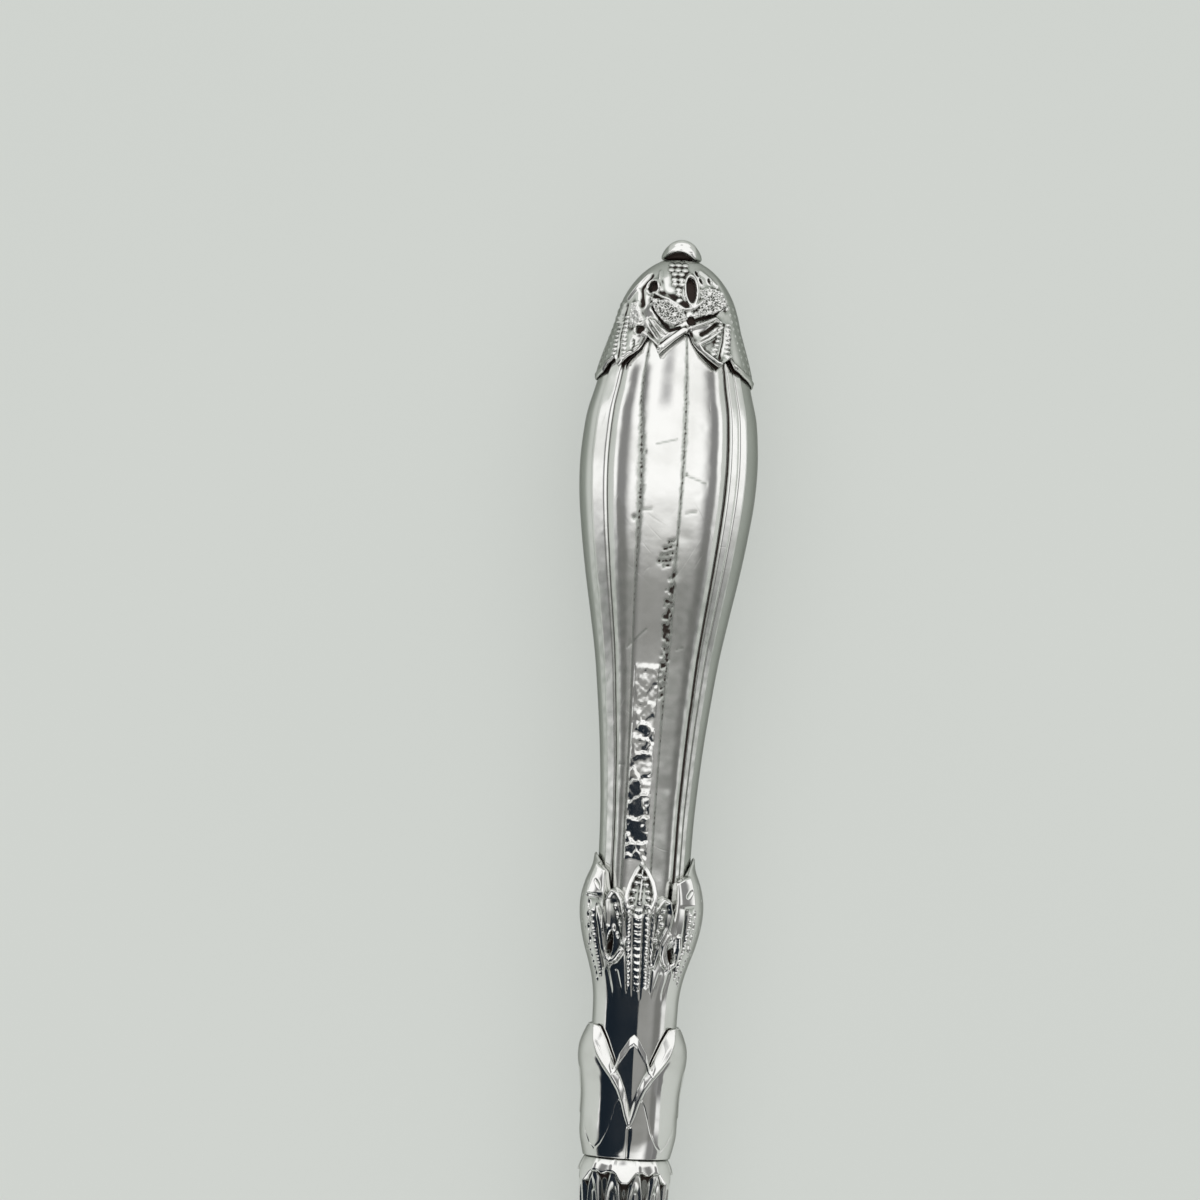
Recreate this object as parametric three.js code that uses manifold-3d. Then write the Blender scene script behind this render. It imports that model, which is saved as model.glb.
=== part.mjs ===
// A pickle fork lying on a table, front face up: a silver handle built up in sections on the tang of
// a forged three-tined fork. Millimetres, +Z up. The handle's axis runs along Y, with the finial
// towards +Y. A station is a distance from the finial's crown along that axis.
import * as THREE from "three";
import { mergeVertices } from "three/addons/utils/BufferGeometryUtils.js";
import Module from "manifold-3d";

const { clamp, degToRad, lerp, radToDeg, smoothstep } = THREE.MathUtils;
const wasm = await Module();
wasm.setup();

// Clearances
const FIT_GAP = 0.15; // round a piece that enters another
const SEAT_GAP = 0.1; // under a piece that seats on another
const SEAM_GAP = 0.1; // the solder line between the halves of the grip

// Finial bead
const BEAD_R = 1.8;
const BEAD_HEIGHT = 1.95;
const BEAD_EQUATOR = 1.3; // station of the bead's widest circle
const SPIGOT_R = 0.8;
const SPIGOT_LENGTH = 1.6;

// Leaf cap, with its leaves measured down from the crown and placed by angle from the front
const CROWN_R = 1.95;
const CROWN_DEPTH = 2.3; // solid metal between the crown and the grip's top
const CAP_WALL = 0.32;
const CAP_RELIEF = 0.1; // how far a leaf stands out along its middle
const CAP_FLARE = 0.1; // how far the leaf tips curl off the grip
const CAP_FLARE_LENGTH = 2.5;
const CAP_FRONT_TIP = 8.5;
const CAP_FRONT_NOTCH = 7.2;
const CAP_INNER_TIP = 9.7;
const CAP_INNER_NOTCH = 8.9;
const CAP_SIDE_TIP = 11;
const CAP_ANGLES = [0, 20, 40, 55, 90]; // of the five leaf edges above
const CAP_TURN = -7; // as soldered on, in degrees

// Grip, with its crest radius at seven places down its length
const GRIP_LENGTH = 58.1;
const GRIP_WALL = 0.5;
const GRIP_TOP_R = 3.75;
const GRIP_SHOULDER_R = 6.55;
const GRIP_SHOULDER_DROP = 8.2;
const GRIP_BELLY_R = 8;
const GRIP_BELLY_DROP = 16;
const GRIP_FLANK_R = 7.2;
const GRIP_FLANK_DROP = 24.3;
const GRIP_WAIST_R = 5.35;
const GRIP_WAIST_DROP = 34.4;
const GRIP_NECK_R = 4.4;
const GRIP_NECK_DROP = 44;
const GRIP_FOOT_R = 4.05;
const FLUTE_ANGLES = [14, 44, 54, 62]; // of the grooves in each quarter, from the front or back
const FLUTE_DEPTH = 0.3; // of the grooves, where the belly is
const FLUTE_SHARPNESS = 2.6; // how flat the lobes between them are
const GRIP_TURN = -4.5;

// Leaf collar, with its leaves measured up from the seat of the grip's foot
const COLLAR_LENGTH = 13.4; // from that seat down to the end of its stem
const COLLAR_TIP_WALL = 0.3;
const COLLAR_BULB_WALL = 1.37;
const COLLAR_BULB_RISE = 2.3;
const COLLAR_TAPER_R = 4.5;
const COLLAR_TAPER_DROP = 2.5;
const COLLAR_WAIST_R = 3.82;
const COLLAR_WAIST_DROP = 6.8;
const COLLAR_STEM_R = 3.75;
const COLLAR_FRONT_TIP = 6.6;
const COLLAR_FRONT_NOTCH = 3.4;
const COLLAR_LOBE_TIP = 4.2;
const COLLAR_SLIT = 1.2;
const COLLAR_SIDE_SHOULDER = 5.2;
const COLLAR_SIDE_TIP = 6.9;
const COLLAR_ANGLES = [0, 15, 25, 35, 40, 90]; // of the six leaf edges above
const COLLAR_RELIEF = 0.2;
const EYELET_ANGLE = 35;
const EYELET_DROP = 1.4; // of the eyelets' middle, below the seat
const EYELET_LENGTH = 4.2;
const EYELET_WIDTH = 14; // in degrees
const EYELET_DEPTH = 0.6;

// Petal calyx, with its petals measured up from the seat of the collar's stem
const CALYX_LENGTH = 5.9; // from that seat down to its foot
const CALYX_PETAL_RISE = 5.3;
const CALYX_SEPAL_RISE = 4.8;
const CALYX_CROSSING_RISE = 2;
const CALYX_CROSSING_ANGLE = 25; // where the sepal's edge meets the petals' edges
const CALYX_CLEFT_DROP = 3.1; // the bottom of the V between two petals
const CALYX_SEPAL_WALL = 0.3;
const CALYX_CUP_WALL = 0.95;
const CALYX_CUP_RISE = 2.7;
const CALYX_WAIST_R = 4.3;
const CALYX_WAIST_DROP = 0.6;
const CALYX_HEEL_R = 4.3;
const CALYX_HEEL_DROP = 4.3;
const CALYX_FOOT_R = 3.88;
const CALYX_RIM = 0.32; // how far the petals' rims stand out
const CALYX_RIM_WIDTH = 0.75;
const CALYX_SPIGOT_WALL = 0.7;
const CALYX_SPIGOT_LENGTH = 2.8;

// Leaf cuff and the ring that closes the handle's mouth
const CUFF_LENGTH = 10.9;
const CUFF_WALL = 0.55;
const CUFF_RIM_HEIGHT = 0.9;
const CUFF_GROOVE = 0.2;
const CUFF_FOOT_WALL = 0.65;
const CUFF_RELIEF = 0.15;
const CUFF_LEAVES = 12;
const MOUTH_RING_HEIGHT = 1.9;
const MOUTH_RING_WALL = 1.1;

// Filling
const FILLING_WALL = 0.6; // round the tang, where the castings are narrowest

// Fork
const TANG_SIDE = 2.2;
const TANG_END_SIDE = 1.4;
const TANG_LENGTH = 46;
const NECK_R = 1.9;
const BOLSTER_R = 2.9;
const BOLSTER_HEIGHT = 1.2;
const BOLSTER_FILLET = 2;
const SHANK_R = 1.9;
const SHANK_END_R = 1.45;
const SHANK_LENGTH = 40;
const PALM_WIDTH = 14.8;
const PALM_THICK = 2.2;
const PALM_SHOULDER_LENGTH = 12;
const PALM_LENGTH = 8;
const PALM_FLATNESS = 0.3;
const TINE_LENGTH = 50;
const TINE_ROOT = 4; // how far a tine reaches back into the palm
const TINE_WIDTH = 2;
const TINE_THICK = 2;
const TINE_TIP_WIDTH = 1.2;
const TINE_POINT = 0.3;
const TINE_POINT_LENGTH = 6;
const TINE_PITCH = 6.3;
const TINE_SPLAY = 0.4;
const TINE_RISE = 4.5;
const BARB_REACH = 1.1;
const BARB_SLOPE = 0.4; // length of the barb's back face

// Stations that follow from the dimensions
const crownTop = BEAD_HEIGHT + SEAT_GAP;
const crownUnder = crownTop + CROWN_DEPTH;
const gripTop = crownUnder + SEAT_GAP;
const gripFoot = gripTop + GRIP_LENGTH;
const collarSeat = gripFoot + SEAT_GAP;
const collarFoot = collarSeat + COLLAR_LENGTH;
const calyxSeat = collarFoot + SEAT_GAP;
const calyxFoot = calyxSeat + CALYX_LENGTH;
const spigotFoot = calyxFoot + CALYX_SPIGOT_LENGTH;
const cuffTop = calyxFoot + SEAT_GAP;
const cuffSeat = spigotFoot + SEAT_GAP;
const cuffFoot = cuffTop + CUFF_LENGTH;
const ringTop = cuffFoot + SEAT_GAP;
const ringFoot = ringTop + MOUTH_RING_HEIGHT;
const bolsterTop = ringFoot + SEAT_GAP;
const shankTop = bolsterTop + BOLSTER_HEIGHT + BOLSTER_FILLET;
const shankFoot = bolsterTop + SHANK_LENGTH;
const palmTop = shankFoot + PALM_SHOULDER_LENGTH;
const palmFoot = palmTop + PALM_LENGTH;
const tineFoot = palmFoot + TINE_LENGTH;
const tangTop = ringTop - TANG_LENGTH;

// Radii that follow from the dimensions, from the tang outwards
const tangBore = TANG_SIDE / Math.SQRT2 + FIT_GAP;
const castBore = tangBore + FILLING_WALL + FIT_GAP;
const spigotR = castBore + CALYX_SPIGOT_WALL;
const cuffSocket = spigotR + FIT_GAP;
const cuffR = cuffSocket + CUFF_WALL;
const calyxSocket = COLLAR_STEM_R + FIT_GAP;
const collarSocket = GRIP_FOOT_R + FIT_GAP;
const axisHeight = GRIP_BELLY_R;

// Counts of corners round and along the pieces
const LEAF_COLUMNS = 72;
const ROUND_COLUMNS = 24;
const GRIP_ROWS = 11;

// The share of the way, from 0 to 1, at each of count evenly spaced places
const spread = (count) => Array.from({ length: count }, (_, i) => i / (count - 1));
const evenAngles = (count) => Array.from({ length: count }, (_, i) => (2 * Math.PI * i) / count);

// A straight or a smooth curve through [position, value] points, held level beyond its ends
function segmentAt(points, position) {
  const after = points.findIndex(([at]) => at > position);
  const index = after < 0 ? points.length - 2 : Math.max(0, after - 1);
  const [start, end] = [points[index][0], points[index + 1][0]];
  return { index, length: end - start, t: clamp((position - start) / (end - start), 0, 1) };
}
function straightThrough(points) {
  return (position) => {
    const { index, t } = segmentAt(points, position);
    return lerp(points[index][1], points[index + 1][1], t);
  };
}
function smoothThrough(points) {
  const slopes = points.slice(1).map(([at, value], i) => (value - points[i][1]) / (at - points[i][0]));
  const tangents = points.map((_, i) => {
    const before = slopes[Math.max(0, i - 1)];
    const after = slopes[Math.min(slopes.length - 1, i)];
    return before * after > 0 ? (2 * before * after) / (before + after) : 0;
  });
  return (position) => {
    const { index, length, t } = segmentAt(points, position);
    const ease = t * t * (3 - 2 * t);
    const bend = tangents[index] * t * (1 - t) ** 2 - tangents[index + 1] * t * t * (1 - t);
    return lerp(points[index][1], points[index + 1][1], ease) + bend * length;
  };
}

// The angle from the nearest front or back line, 0 to 90 degrees, and from the nearest quarter line
const fromFront = (angle) => radToDeg(Math.asin(Math.abs(Math.sin(angle))));
const fromQuarter = (angle) => Math.min(fromFront(angle), 90 - fromFront(angle));

// Joins equal corners, so that a surface closes, and drops the triangles that this empties
function weld(geometry) {
  geometry.deleteAttribute("normal");
  geometry.deleteAttribute("uv");
  const welded = mergeVertices(geometry, 1e-4);
  const corners = welded.index.array;
  const kept = [];
  for (let i = 0; i < corners.length; i += 3) {
    const [a, b, c] = [corners[i], corners[i + 1], corners[i + 2]];
    if (a !== b && b !== c && c !== a) {
      kept.push(a, b, c);
    }
  }
  welded.setIndex(kept);
  return welded;
}

// A closed skin of rows by columns: point(column, row) gives each corner, rows run from low to high y
function skin(columnCount, rowCount, point) {
  const blank = Array.from({ length: rowCount + 1 }, (_, row) => new THREE.Vector2(1, row));
  const geometry = new THREE.LatheGeometry(blank, columnCount);
  const position = geometry.getAttribute("position");
  for (let i = 0; i < position.count; i += 1) {
    const column = Math.floor(i / (rowCount + 1)) % columnCount;
    const row = (i % (rowCount + 1)) % rowCount;
    position.setXYZ(i, ...point(column, row));
  }
  return weld(geometry);
}

// A piece turned about the axis: each row gives [radius, station] at an angle, up outside, down inside
function turned(angles, rows) {
  return skin(angles.length, rows.length, (column, row) => {
    const angle = angles[column];
    const [radius, station] = rows[row](angle);
    return [radius * Math.sin(angle), -station, radius * Math.cos(angle)];
  });
}

// A bar along the axis through sections listed from its far end, each rounded or flattened
function lofted(columnCount, sections) {
  const ends = [sections[0], sections[sections.length - 1]];
  const [first, last] = ends.map((end) => ({ ...end, halfWidth: 0, halfThick: 0 }));
  const rows = [first, ...sections, last];
  return skin(columnCount, rows.length, (column, row) => {
    const angle = (2 * Math.PI * column) / columnCount;
    const { station, x, z, halfWidth, halfThick, flatness } = rows[row];
    const across = clamp((1 + flatness) * Math.sin(angle), -1, 1);
    const up = clamp((1 + flatness) * Math.cos(angle), -1, 1);
    return [x + halfWidth * across, -station, z + halfThick * up];
  });
}

// Solids for joins and cuts, and back
function solid(geometry) {
  const vertProperties = new Float32Array(geometry.getAttribute("position").array);
  const triVerts = new Uint32Array(geometry.index.array);
  return new wasm.Manifold(new wasm.Mesh({ numProp: 3, vertProperties, triVerts }));
}
function geometryOf(manifold) {
  const mesh = manifold.getMesh();
  const geometry = new THREE.BufferGeometry();
  geometry.setAttribute("position", new THREE.BufferAttribute(mesh.vertProperties, 3));
  geometry.setIndex(Array.from(mesh.triVerts));
  return geometry;
}

const silver = new THREE.MeshStandardMaterial({ color: 0xc8cac6, roughness: 0.18, metalness: 1 });
const castSilver = new THREE.MeshStandardMaterial({ color: 0xbfc1bc, roughness: 0.26, metalness: 1 });
const pitch = new THREE.MeshStandardMaterial({ color: 0x2a1c14, roughness: 0.7, metalness: 0 });

const handle = new THREE.Group();
handle.position.set(0, tineFoot / 2, axisHeight);
function addPiece(name, geometry, material, turn = 0) {
  const mesh = new THREE.Mesh(geometry, material);
  mesh.name = name;
  mesh.rotation.y = degToRad(turn);
  handle.add(mesh);
}

// Grip outline: the crest of the lobes, and how far the grooves fall below it
const gripCrest = smoothThrough([
  [gripTop, GRIP_TOP_R],
  [gripTop + GRIP_SHOULDER_DROP, GRIP_SHOULDER_R],
  [gripTop + GRIP_BELLY_DROP, GRIP_BELLY_R],
  [gripTop + GRIP_FLANK_DROP, GRIP_FLANK_R],
  [gripTop + GRIP_WAIST_DROP, GRIP_WAIST_R],
  [gripTop + GRIP_NECK_DROP, GRIP_NECK_R],
  [gripFoot, GRIP_FOOT_R],
]);
const fluteDepth = (station) => (FLUTE_DEPTH * gripCrest(station)) / GRIP_BELLY_R;

// Lobes round the grip: a groove at each end of every lobe, the side lobes astride the seams
const quarterGrooves = FLUTE_ANGLES.flatMap((angle) => [angle, 180 - angle, 180 + angle, 360 - angle]);
const grooves = quarterGrooves.sort((a, b) => a - b);
const lobes = grooves.map((start, i) => {
  const end = i + 1 < grooves.length ? grooves[i + 1] : grooves[0] + 360;
  return { start, width: end - start };
});
const WIDE_LOBE = 20; // degrees, above which a lobe gets twice the corners
const gripAngles = lobes.flatMap(({ start, width }) => {
  const count = width > WIDE_LOBE ? 4 : 2;
  return spread(count + 1).slice(0, -1).map((t) => degToRad(start + width * t));
});
function grooveShare(angle) {
  const degrees = radToDeg(angle);
  const { start, width } = lobes.findLast((lobe) => lobe.start <= degrees + 1e-6) ?? lobes[0];
  return Math.abs((2 * (degrees - start)) / width - 1) ** FLUTE_SHARPNESS;
}
const gripSkin = (angle, station) => gripCrest(station) - fluteDepth(station) * grooveShare(angle);

// Grip: one fluted shell, sawn into front and back halves along the side seams
const gripShell = solid(
  turned(gripAngles, [
    ...spread(GRIP_ROWS).map((t) => (angle) => {
      const station = lerp(gripFoot, gripTop, t);
      return [gripSkin(angle, station), station];
    }),
    ...spread(GRIP_ROWS).map((t) => (angle) => {
      const station = lerp(gripTop, gripFoot, t);
      return [gripSkin(angle, station) - GRIP_WALL, station];
    }),
  ]),
);
const halfBlockSize = 4 * GRIP_BELLY_R;
function halfBlock(side) {
  const block = new THREE.BoxGeometry(halfBlockSize, 4 * GRIP_LENGTH, halfBlockSize);
  block.translate(0, 0, (side * (halfBlockSize + SEAM_GAP)) / 2);
  return solid(weld(block));
}
addPiece("grip_front_shell", geometryOf(gripShell.intersect(halfBlock(1))), silver, GRIP_TURN);
addPiece("grip_back_shell", geometryOf(gripShell.intersect(halfBlock(-1))), silver, GRIP_TURN);

// Filling: poured against the inside of the grip and the bores below it, round the tang
const fillingFoot = cuffFoot - SEAT_GAP;
const fillingR = (station) => gripCrest(station) - fluteDepth(station) - GRIP_WALL - FIT_GAP;
addPiece(
  "pitch_filling",
  turned(evenAngles(ROUND_COLUMNS), [
    () => [castBore - FIT_GAP, fillingFoot],
    () => [castBore - FIT_GAP, collarSeat - 2 * SEAT_GAP],
    ...spread(GRIP_ROWS).map((t) => () => {
      const station = lerp(gripFoot - 2 * SEAT_GAP, gripTop + SEAT_GAP, t);
      return [fillingR(station), station];
    }),
    () => [0, gripTop + SEAT_GAP],
    () => [0, tangTop - SEAT_GAP],
    () => [tangBore, tangTop - SEAT_GAP],
    () => [tangBore, fillingFoot],
  ]),
  pitch,
);

// Finial bead: a flattened ball on a spigot
const beadFlatness = BEAD_EQUATOR / BEAD_R;
const beadFootAngle = -Math.asin((BEAD_HEIGHT - BEAD_EQUATOR) / BEAD_EQUATOR);
addPiece(
  "finial_bead",
  turned(evenAngles(ROUND_COLUMNS), [
    () => [0, BEAD_HEIGHT + SPIGOT_LENGTH],
    () => [SPIGOT_R, BEAD_HEIGHT + SPIGOT_LENGTH],
    () => [SPIGOT_R, BEAD_HEIGHT],
    ...spread(7).map((t) => () => {
      const tilt = lerp(beadFootAngle, Math.PI / 2, t);
      return [BEAD_R * Math.cos(tilt), BEAD_EQUATOR - beadFlatness * BEAD_R * Math.sin(tilt)];
    }),
  ]),
  silver,
);

// Leaf cap: a shell over the grip's shoulder with a solid crown and a rim cut into leaf tips
const capLengths = [CAP_FRONT_TIP, CAP_FRONT_NOTCH, CAP_INNER_TIP, CAP_INNER_NOTCH, CAP_SIDE_TIP];
const capLeafLength = straightThrough(CAP_ANGLES.map((angle, i) => [angle, capLengths[i]]));
const capEdge = (angle) => crownTop + capLeafLength(fromFront(angle));
function capInside(angle, station) {
  const flare = smoothstep(station, capEdge(angle) - CAP_FLARE_LENGTH, capEdge(angle));
  return gripCrest(station) + FIT_GAP + CAP_FLARE * flare;
}
function capOutside(angle, station) {
  const dome = Math.sin((Math.PI / 2) * clamp((station - crownTop) / (gripTop - crownTop), 0, 1));
  const leafMiddle = Math.cos(degToRad(4 * fromFront(angle)));
  const wall = CAP_WALL + CAP_RELIEF * dome * leafMiddle;
  return lerp(CROWN_R, capInside(angle, Math.max(station, gripTop)) + wall, dome);
}
const capBore = SPIGOT_R + FIT_GAP;
addPiece(
  "leaf_cap",
  turned(evenAngles(LEAF_COLUMNS), [
    ...spread(7).map((t) => (angle) => {
      const station = lerp(capEdge(angle), gripTop, t);
      return [capOutside(angle, station), station];
    }),
    ...spread(5).slice(1).map((t) => (angle) => {
      const station = lerp(gripTop, crownTop, t);
      return [capOutside(angle, station), station];
    }),
    () => [capBore, crownTop],
    () => [capBore, crownUnder],
    (angle) => [capInside(angle, gripTop), crownUnder],
    ...spread(4).map((t) => (angle) => {
      const station = lerp(gripTop, capEdge(angle), t);
      return [capInside(angle, station), station];
    }),
  ]),
  castSilver,
  CAP_TURN,
);

// Leaf collar: a bulb of upright leaves round the grip's foot, drawn in to a waist and a stem
const collarRises = [
  COLLAR_FRONT_TIP,
  COLLAR_FRONT_NOTCH,
  COLLAR_LOBE_TIP,
  COLLAR_SLIT,
  COLLAR_SIDE_SHOULDER,
  COLLAR_SIDE_TIP,
];
const collarLeafRise = straightThrough(COLLAR_ANGLES.map((angle, i) => [angle, collarRises[i]]));
const collarEdge = (angle) => collarSeat - collarLeafRise(fromFront(angle));
const collarOutline = smoothThrough([
  [collarSeat - COLLAR_SIDE_TIP, collarSocket + COLLAR_TIP_WALL],
  [collarSeat - COLLAR_BULB_RISE, collarSocket + COLLAR_BULB_WALL],
  [collarSeat + COLLAR_TAPER_DROP, COLLAR_TAPER_R],
  [collarSeat + COLLAR_WAIST_DROP, COLLAR_WAIST_R],
  [collarFoot, COLLAR_STEM_R],
]);
function collarOutside(angle, station) {
  const along = (station - collarSeat - EYELET_DROP) / (EYELET_LENGTH / 2);
  const across = (fromFront(angle) - EYELET_ANGLE) / (EYELET_WIDTH / 2);
  const eyelet = EYELET_DEPTH * Math.max(0, 1 - Math.hypot(along, across));
  const leafy = smoothstep(-station, -collarSeat - COLLAR_TAPER_DROP, -collarSeat + COLLAR_BULB_RISE);
  const ridge = COLLAR_RELIEF * leafy * Math.cos(degToRad(4 * fromFront(angle)));
  return collarOutline(station) + Math.min(0, ridge) - eyelet;
}
addPiece(
  "leaf_collar",
  turned(evenAngles(LEAF_COLUMNS), [
    ...spread(12).map((t) => (angle) => {
      const station = lerp(collarFoot, collarEdge(angle), t);
      return [collarOutside(angle, station), station];
    }),
    ...spread(4).map((t) => (angle) => {
      const station = lerp(collarEdge(angle), collarSeat, t);
      return [gripCrest(station) + FIT_GAP, station];
    }),
    () => [castBore, collarSeat],
    () => [castBore, collarFoot],
  ]),
  castSilver,
);

// Petal calyx: four petals with thick rims that part in a V over four pointed sepals
const petalReach = CALYX_CLEFT_DROP + CALYX_PETAL_RISE;
const crossingShare = (CALYX_CLEFT_DROP + CALYX_CROSSING_RISE) / petalReach;
const cleftPower = Math.log(crossingShare) / Math.log(CALYX_CROSSING_ANGLE / 45);
function petalEdge(angle) {
  return calyxSeat + CALYX_CLEFT_DROP - petalReach * (fromQuarter(angle) / 45) ** cleftPower;
}
function sepalEdge(angle) {
  const fall = (CALYX_SEPAL_RISE - CALYX_CROSSING_RISE) * (fromQuarter(angle) / CALYX_CROSSING_ANGLE) ** 1.5;
  return Math.min(calyxSeat - CALYX_SEPAL_RISE + fall, petalEdge(angle) - FIT_GAP);
}
const sepalR = calyxSocket + CALYX_SEPAL_WALL;
const calyxOutline = smoothThrough([
  [calyxSeat - CALYX_PETAL_RISE, sepalR],
  [calyxSeat - CALYX_CUP_RISE, calyxSocket + CALYX_CUP_WALL],
  [calyxSeat + CALYX_WAIST_DROP, CALYX_WAIST_R],
  [calyxSeat + CALYX_HEEL_DROP, CALYX_HEEL_R],
  [calyxFoot, CALYX_FOOT_R],
]);
addPiece(
  "petal_calyx",
  turned(evenAngles(LEAF_COLUMNS), [
    ...spread(6).map((t) => (angle) => {
      const station = lerp(calyxFoot, petalEdge(angle) + CALYX_RIM_WIDTH, t);
      return [calyxOutline(station), station];
    }),
    (angle) => {
      const station = petalEdge(angle) + CALYX_RIM_WIDTH / 2;
      return [calyxOutline(station) + CALYX_RIM, station];
    },
    (angle) => [sepalR, petalEdge(angle)],
    (angle) => [sepalR, sepalEdge(angle)],
    (angle) => [calyxSocket, sepalEdge(angle)],
    () => [calyxSocket, calyxSeat],
    () => [castBore, calyxSeat],
    () => [castBore, spigotFoot],
    () => [spigotR, spigotFoot],
    () => [spigotR, calyxFoot],
  ]),
  castSilver,
);

// Leaf cuff: a rimmed sleeve with a ring of small upright leaves
const cuffOutline = smoothThrough([
  [cuffTop, cuffR],
  [cuffTop + CUFF_RIM_HEIGHT, cuffR],
  [cuffTop + 1.5 * CUFF_RIM_HEIGHT, cuffR - CUFF_GROOVE],
  [cuffSeat, cuffR - CUFF_GROOVE / 2],
  [cuffFoot, castBore + CUFF_FOOT_WALL],
]);
function cuffOutside(angle, station) {
  const leafy = smoothstep(station, cuffTop + CUFF_RIM_HEIGHT, cuffSeat);
  return cuffOutline(station) + CUFF_RELIEF * leafy * Math.max(0, Math.cos(CUFF_LEAVES * angle));
}
addPiece(
  "leaf_cuff",
  turned(evenAngles(LEAF_COLUMNS), [
    ...[0, 0.25, 0.5, 0.7, 0.86, 0.92, 1].map((t) => (angle) => {
      const station = lerp(cuffFoot, cuffTop, t);
      return [cuffOutside(angle, station), station];
    }),
    () => [cuffSocket, cuffTop],
    () => [cuffSocket, cuffSeat],
    () => [castBore, cuffSeat],
    () => [castBore, cuffFoot],
  ]),
  castSilver,
);

// Mouth ring: a half-round moulding between the cuff and the fork's bolster
const mouthBore = NECK_R + FIT_GAP;
addPiece(
  "mouth_ring",
  turned(evenAngles(ROUND_COLUMNS), [
    ...spread(7).map((t) => () => {
      const station = lerp(ringFoot, ringTop, t);
      const bulge = Math.sqrt(Math.max(0, 1 - (2 * t - 1) ** 2));
      return [mouthBore + MOUTH_RING_WALL * lerp(0.6, 1, bulge), station];
    }),
    () => [mouthBore, ringTop],
    () => [mouthBore, ringFoot],
  ]),
  silver,
);

// Fork: neck, bolster, shank and palm in one bar whose underside comes down to the table
const halfWidths = smoothThrough([
  [bolsterTop + BOLSTER_HEIGHT, BOLSTER_R],
  [shankTop, SHANK_R],
  [shankFoot, SHANK_END_R],
  [palmTop, PALM_WIDTH / 2],
  [palmFoot, PALM_WIDTH / 2],
]);
const halfThicks = smoothThrough([
  [bolsterTop + BOLSTER_HEIGHT, BOLSTER_R],
  [shankTop, SHANK_R],
  [shankFoot, SHANK_END_R],
  [palmTop, PALM_THICK / 2],
]);
function shankSection(station) {
  const halfThick = halfThicks(station);
  const sunk = smoothstep(station, shankTop, palmTop);
  return {
    station,
    x: 0,
    z: lerp(0, halfThick - axisHeight, sunk),
    halfWidth: halfWidths(station),
    halfThick,
    flatness: PALM_FLATNESS * smoothstep(station, shankFoot, palmTop),
  };
}
const neckSection = { x: 0, z: 0, halfWidth: NECK_R, halfThick: NECK_R, flatness: 0 };
const palmAndShank = lofted(24, [
  ...spread(3).map((t) => shankSection(lerp(palmFoot, palmTop, t))),
  ...spread(8).slice(1).map((t) => shankSection(lerp(palmTop, shankFoot, t))),
  ...spread(10).slice(1).map((t) => shankSection(lerp(shankFoot, shankTop, t))),
  ...spread(4).slice(1).map((t) => shankSection(lerp(shankTop, bolsterTop, t))),
  { ...neckSection, station: bolsterTop },
  { ...neckSection, station: ringTop },
]);

// Tang: a tapered square bar from the neck up into the filling
const tang = new THREE.BoxGeometry(TANG_SIDE, TANG_LENGTH + NECK_R, TANG_SIDE);
const tangCorners = tang.getAttribute("position");
for (let i = 0; i < tangCorners.count; i += 1) {
  const side = tangCorners.getY(i) > 0 ? TANG_END_SIDE / TANG_SIDE : 1;
  tangCorners.setX(i, tangCorners.getX(i) * side);
  tangCorners.setZ(i, tangCorners.getZ(i) * side);
}
tang.translate(0, (TANG_LENGTH - NECK_R) / 2 - ringTop, 0);

// Tines: slender, rising to their points, the outer two splayed and barbed on the outside
const pointTop = tineFoot - TINE_POINT_LENGTH;
function tineSection(station, side, barb) {
  const along = clamp((station - palmFoot) / TINE_LENGTH, 0, 1);
  const pointed = smoothstep(station, pointTop, tineFoot);
  const width = lerp(lerp(TINE_WIDTH, TINE_TIP_WIDTH, along), TINE_POINT, pointed);
  return {
    station,
    x: side * (TINE_PITCH + TINE_SPLAY * along + barb / 2),
    z: PALM_THICK / 2 - axisHeight + TINE_RISE * along * along,
    halfWidth: (width + barb) / 2,
    halfThick: lerp(lerp(TINE_THICK, TINE_TIP_WIDTH, along), TINE_POINT, pointed) / 2,
    flatness: PALM_FLATNESS,
  };
}
function tine(side) {
  const barb = BARB_REACH * Math.abs(side);
  return lofted(12, [
    ...spread(4).map((t) => tineSection(lerp(tineFoot, pointTop, t), side, barb * t)),
    ...spread(9).map((t) => {
      const station = lerp(pointTop - BARB_SLOPE, palmFoot, t);
      return tineSection(station, side, 0);
    }),
    tineSection(palmFoot - TINE_ROOT, side, 0),
  ]);
}
const joinedFork = [weld(tang), tine(-1), tine(0), tine(1)].reduce(
  (joined, geometry) => joined.add(solid(geometry)),
  solid(palmAndShank),
);

// Crotches: the slots between the tines end in half rounds cut into the palm
const crotchR = (TINE_PITCH - TINE_WIDTH) / 2;
function crotch(side) {
  const drill = new THREE.CylinderGeometry(crotchR, crotchR, 2 * axisHeight, ROUND_COLUMNS);
  drill.rotateX(Math.PI / 2);
  drill.translate((side * TINE_PITCH) / 2, -palmFoot, -axisHeight);
  return solid(weld(drill));
}
const fork = joinedFork.subtract(crotch(-1)).subtract(crotch(1));
addPiece("tined_fork", geometryOf(fork), silver);

const pickleFork = new THREE.Group();
pickleFork.add(handle);
export default pickleFork;
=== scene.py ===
# %% [markdown]
# # A silver pickle fork
# The fork lies on a pale table, front face up. Its handle is a thin stamped grip that is held between
# cast leaf mounts, all threaded on the tang of the forged fork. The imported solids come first. They
# give every piece its place, so nothing below has to be fitted by eye.

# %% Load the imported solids
import math

import bmesh
import bpy
import numpy as np
from mathutils import Matrix, Vector, noise


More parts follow.
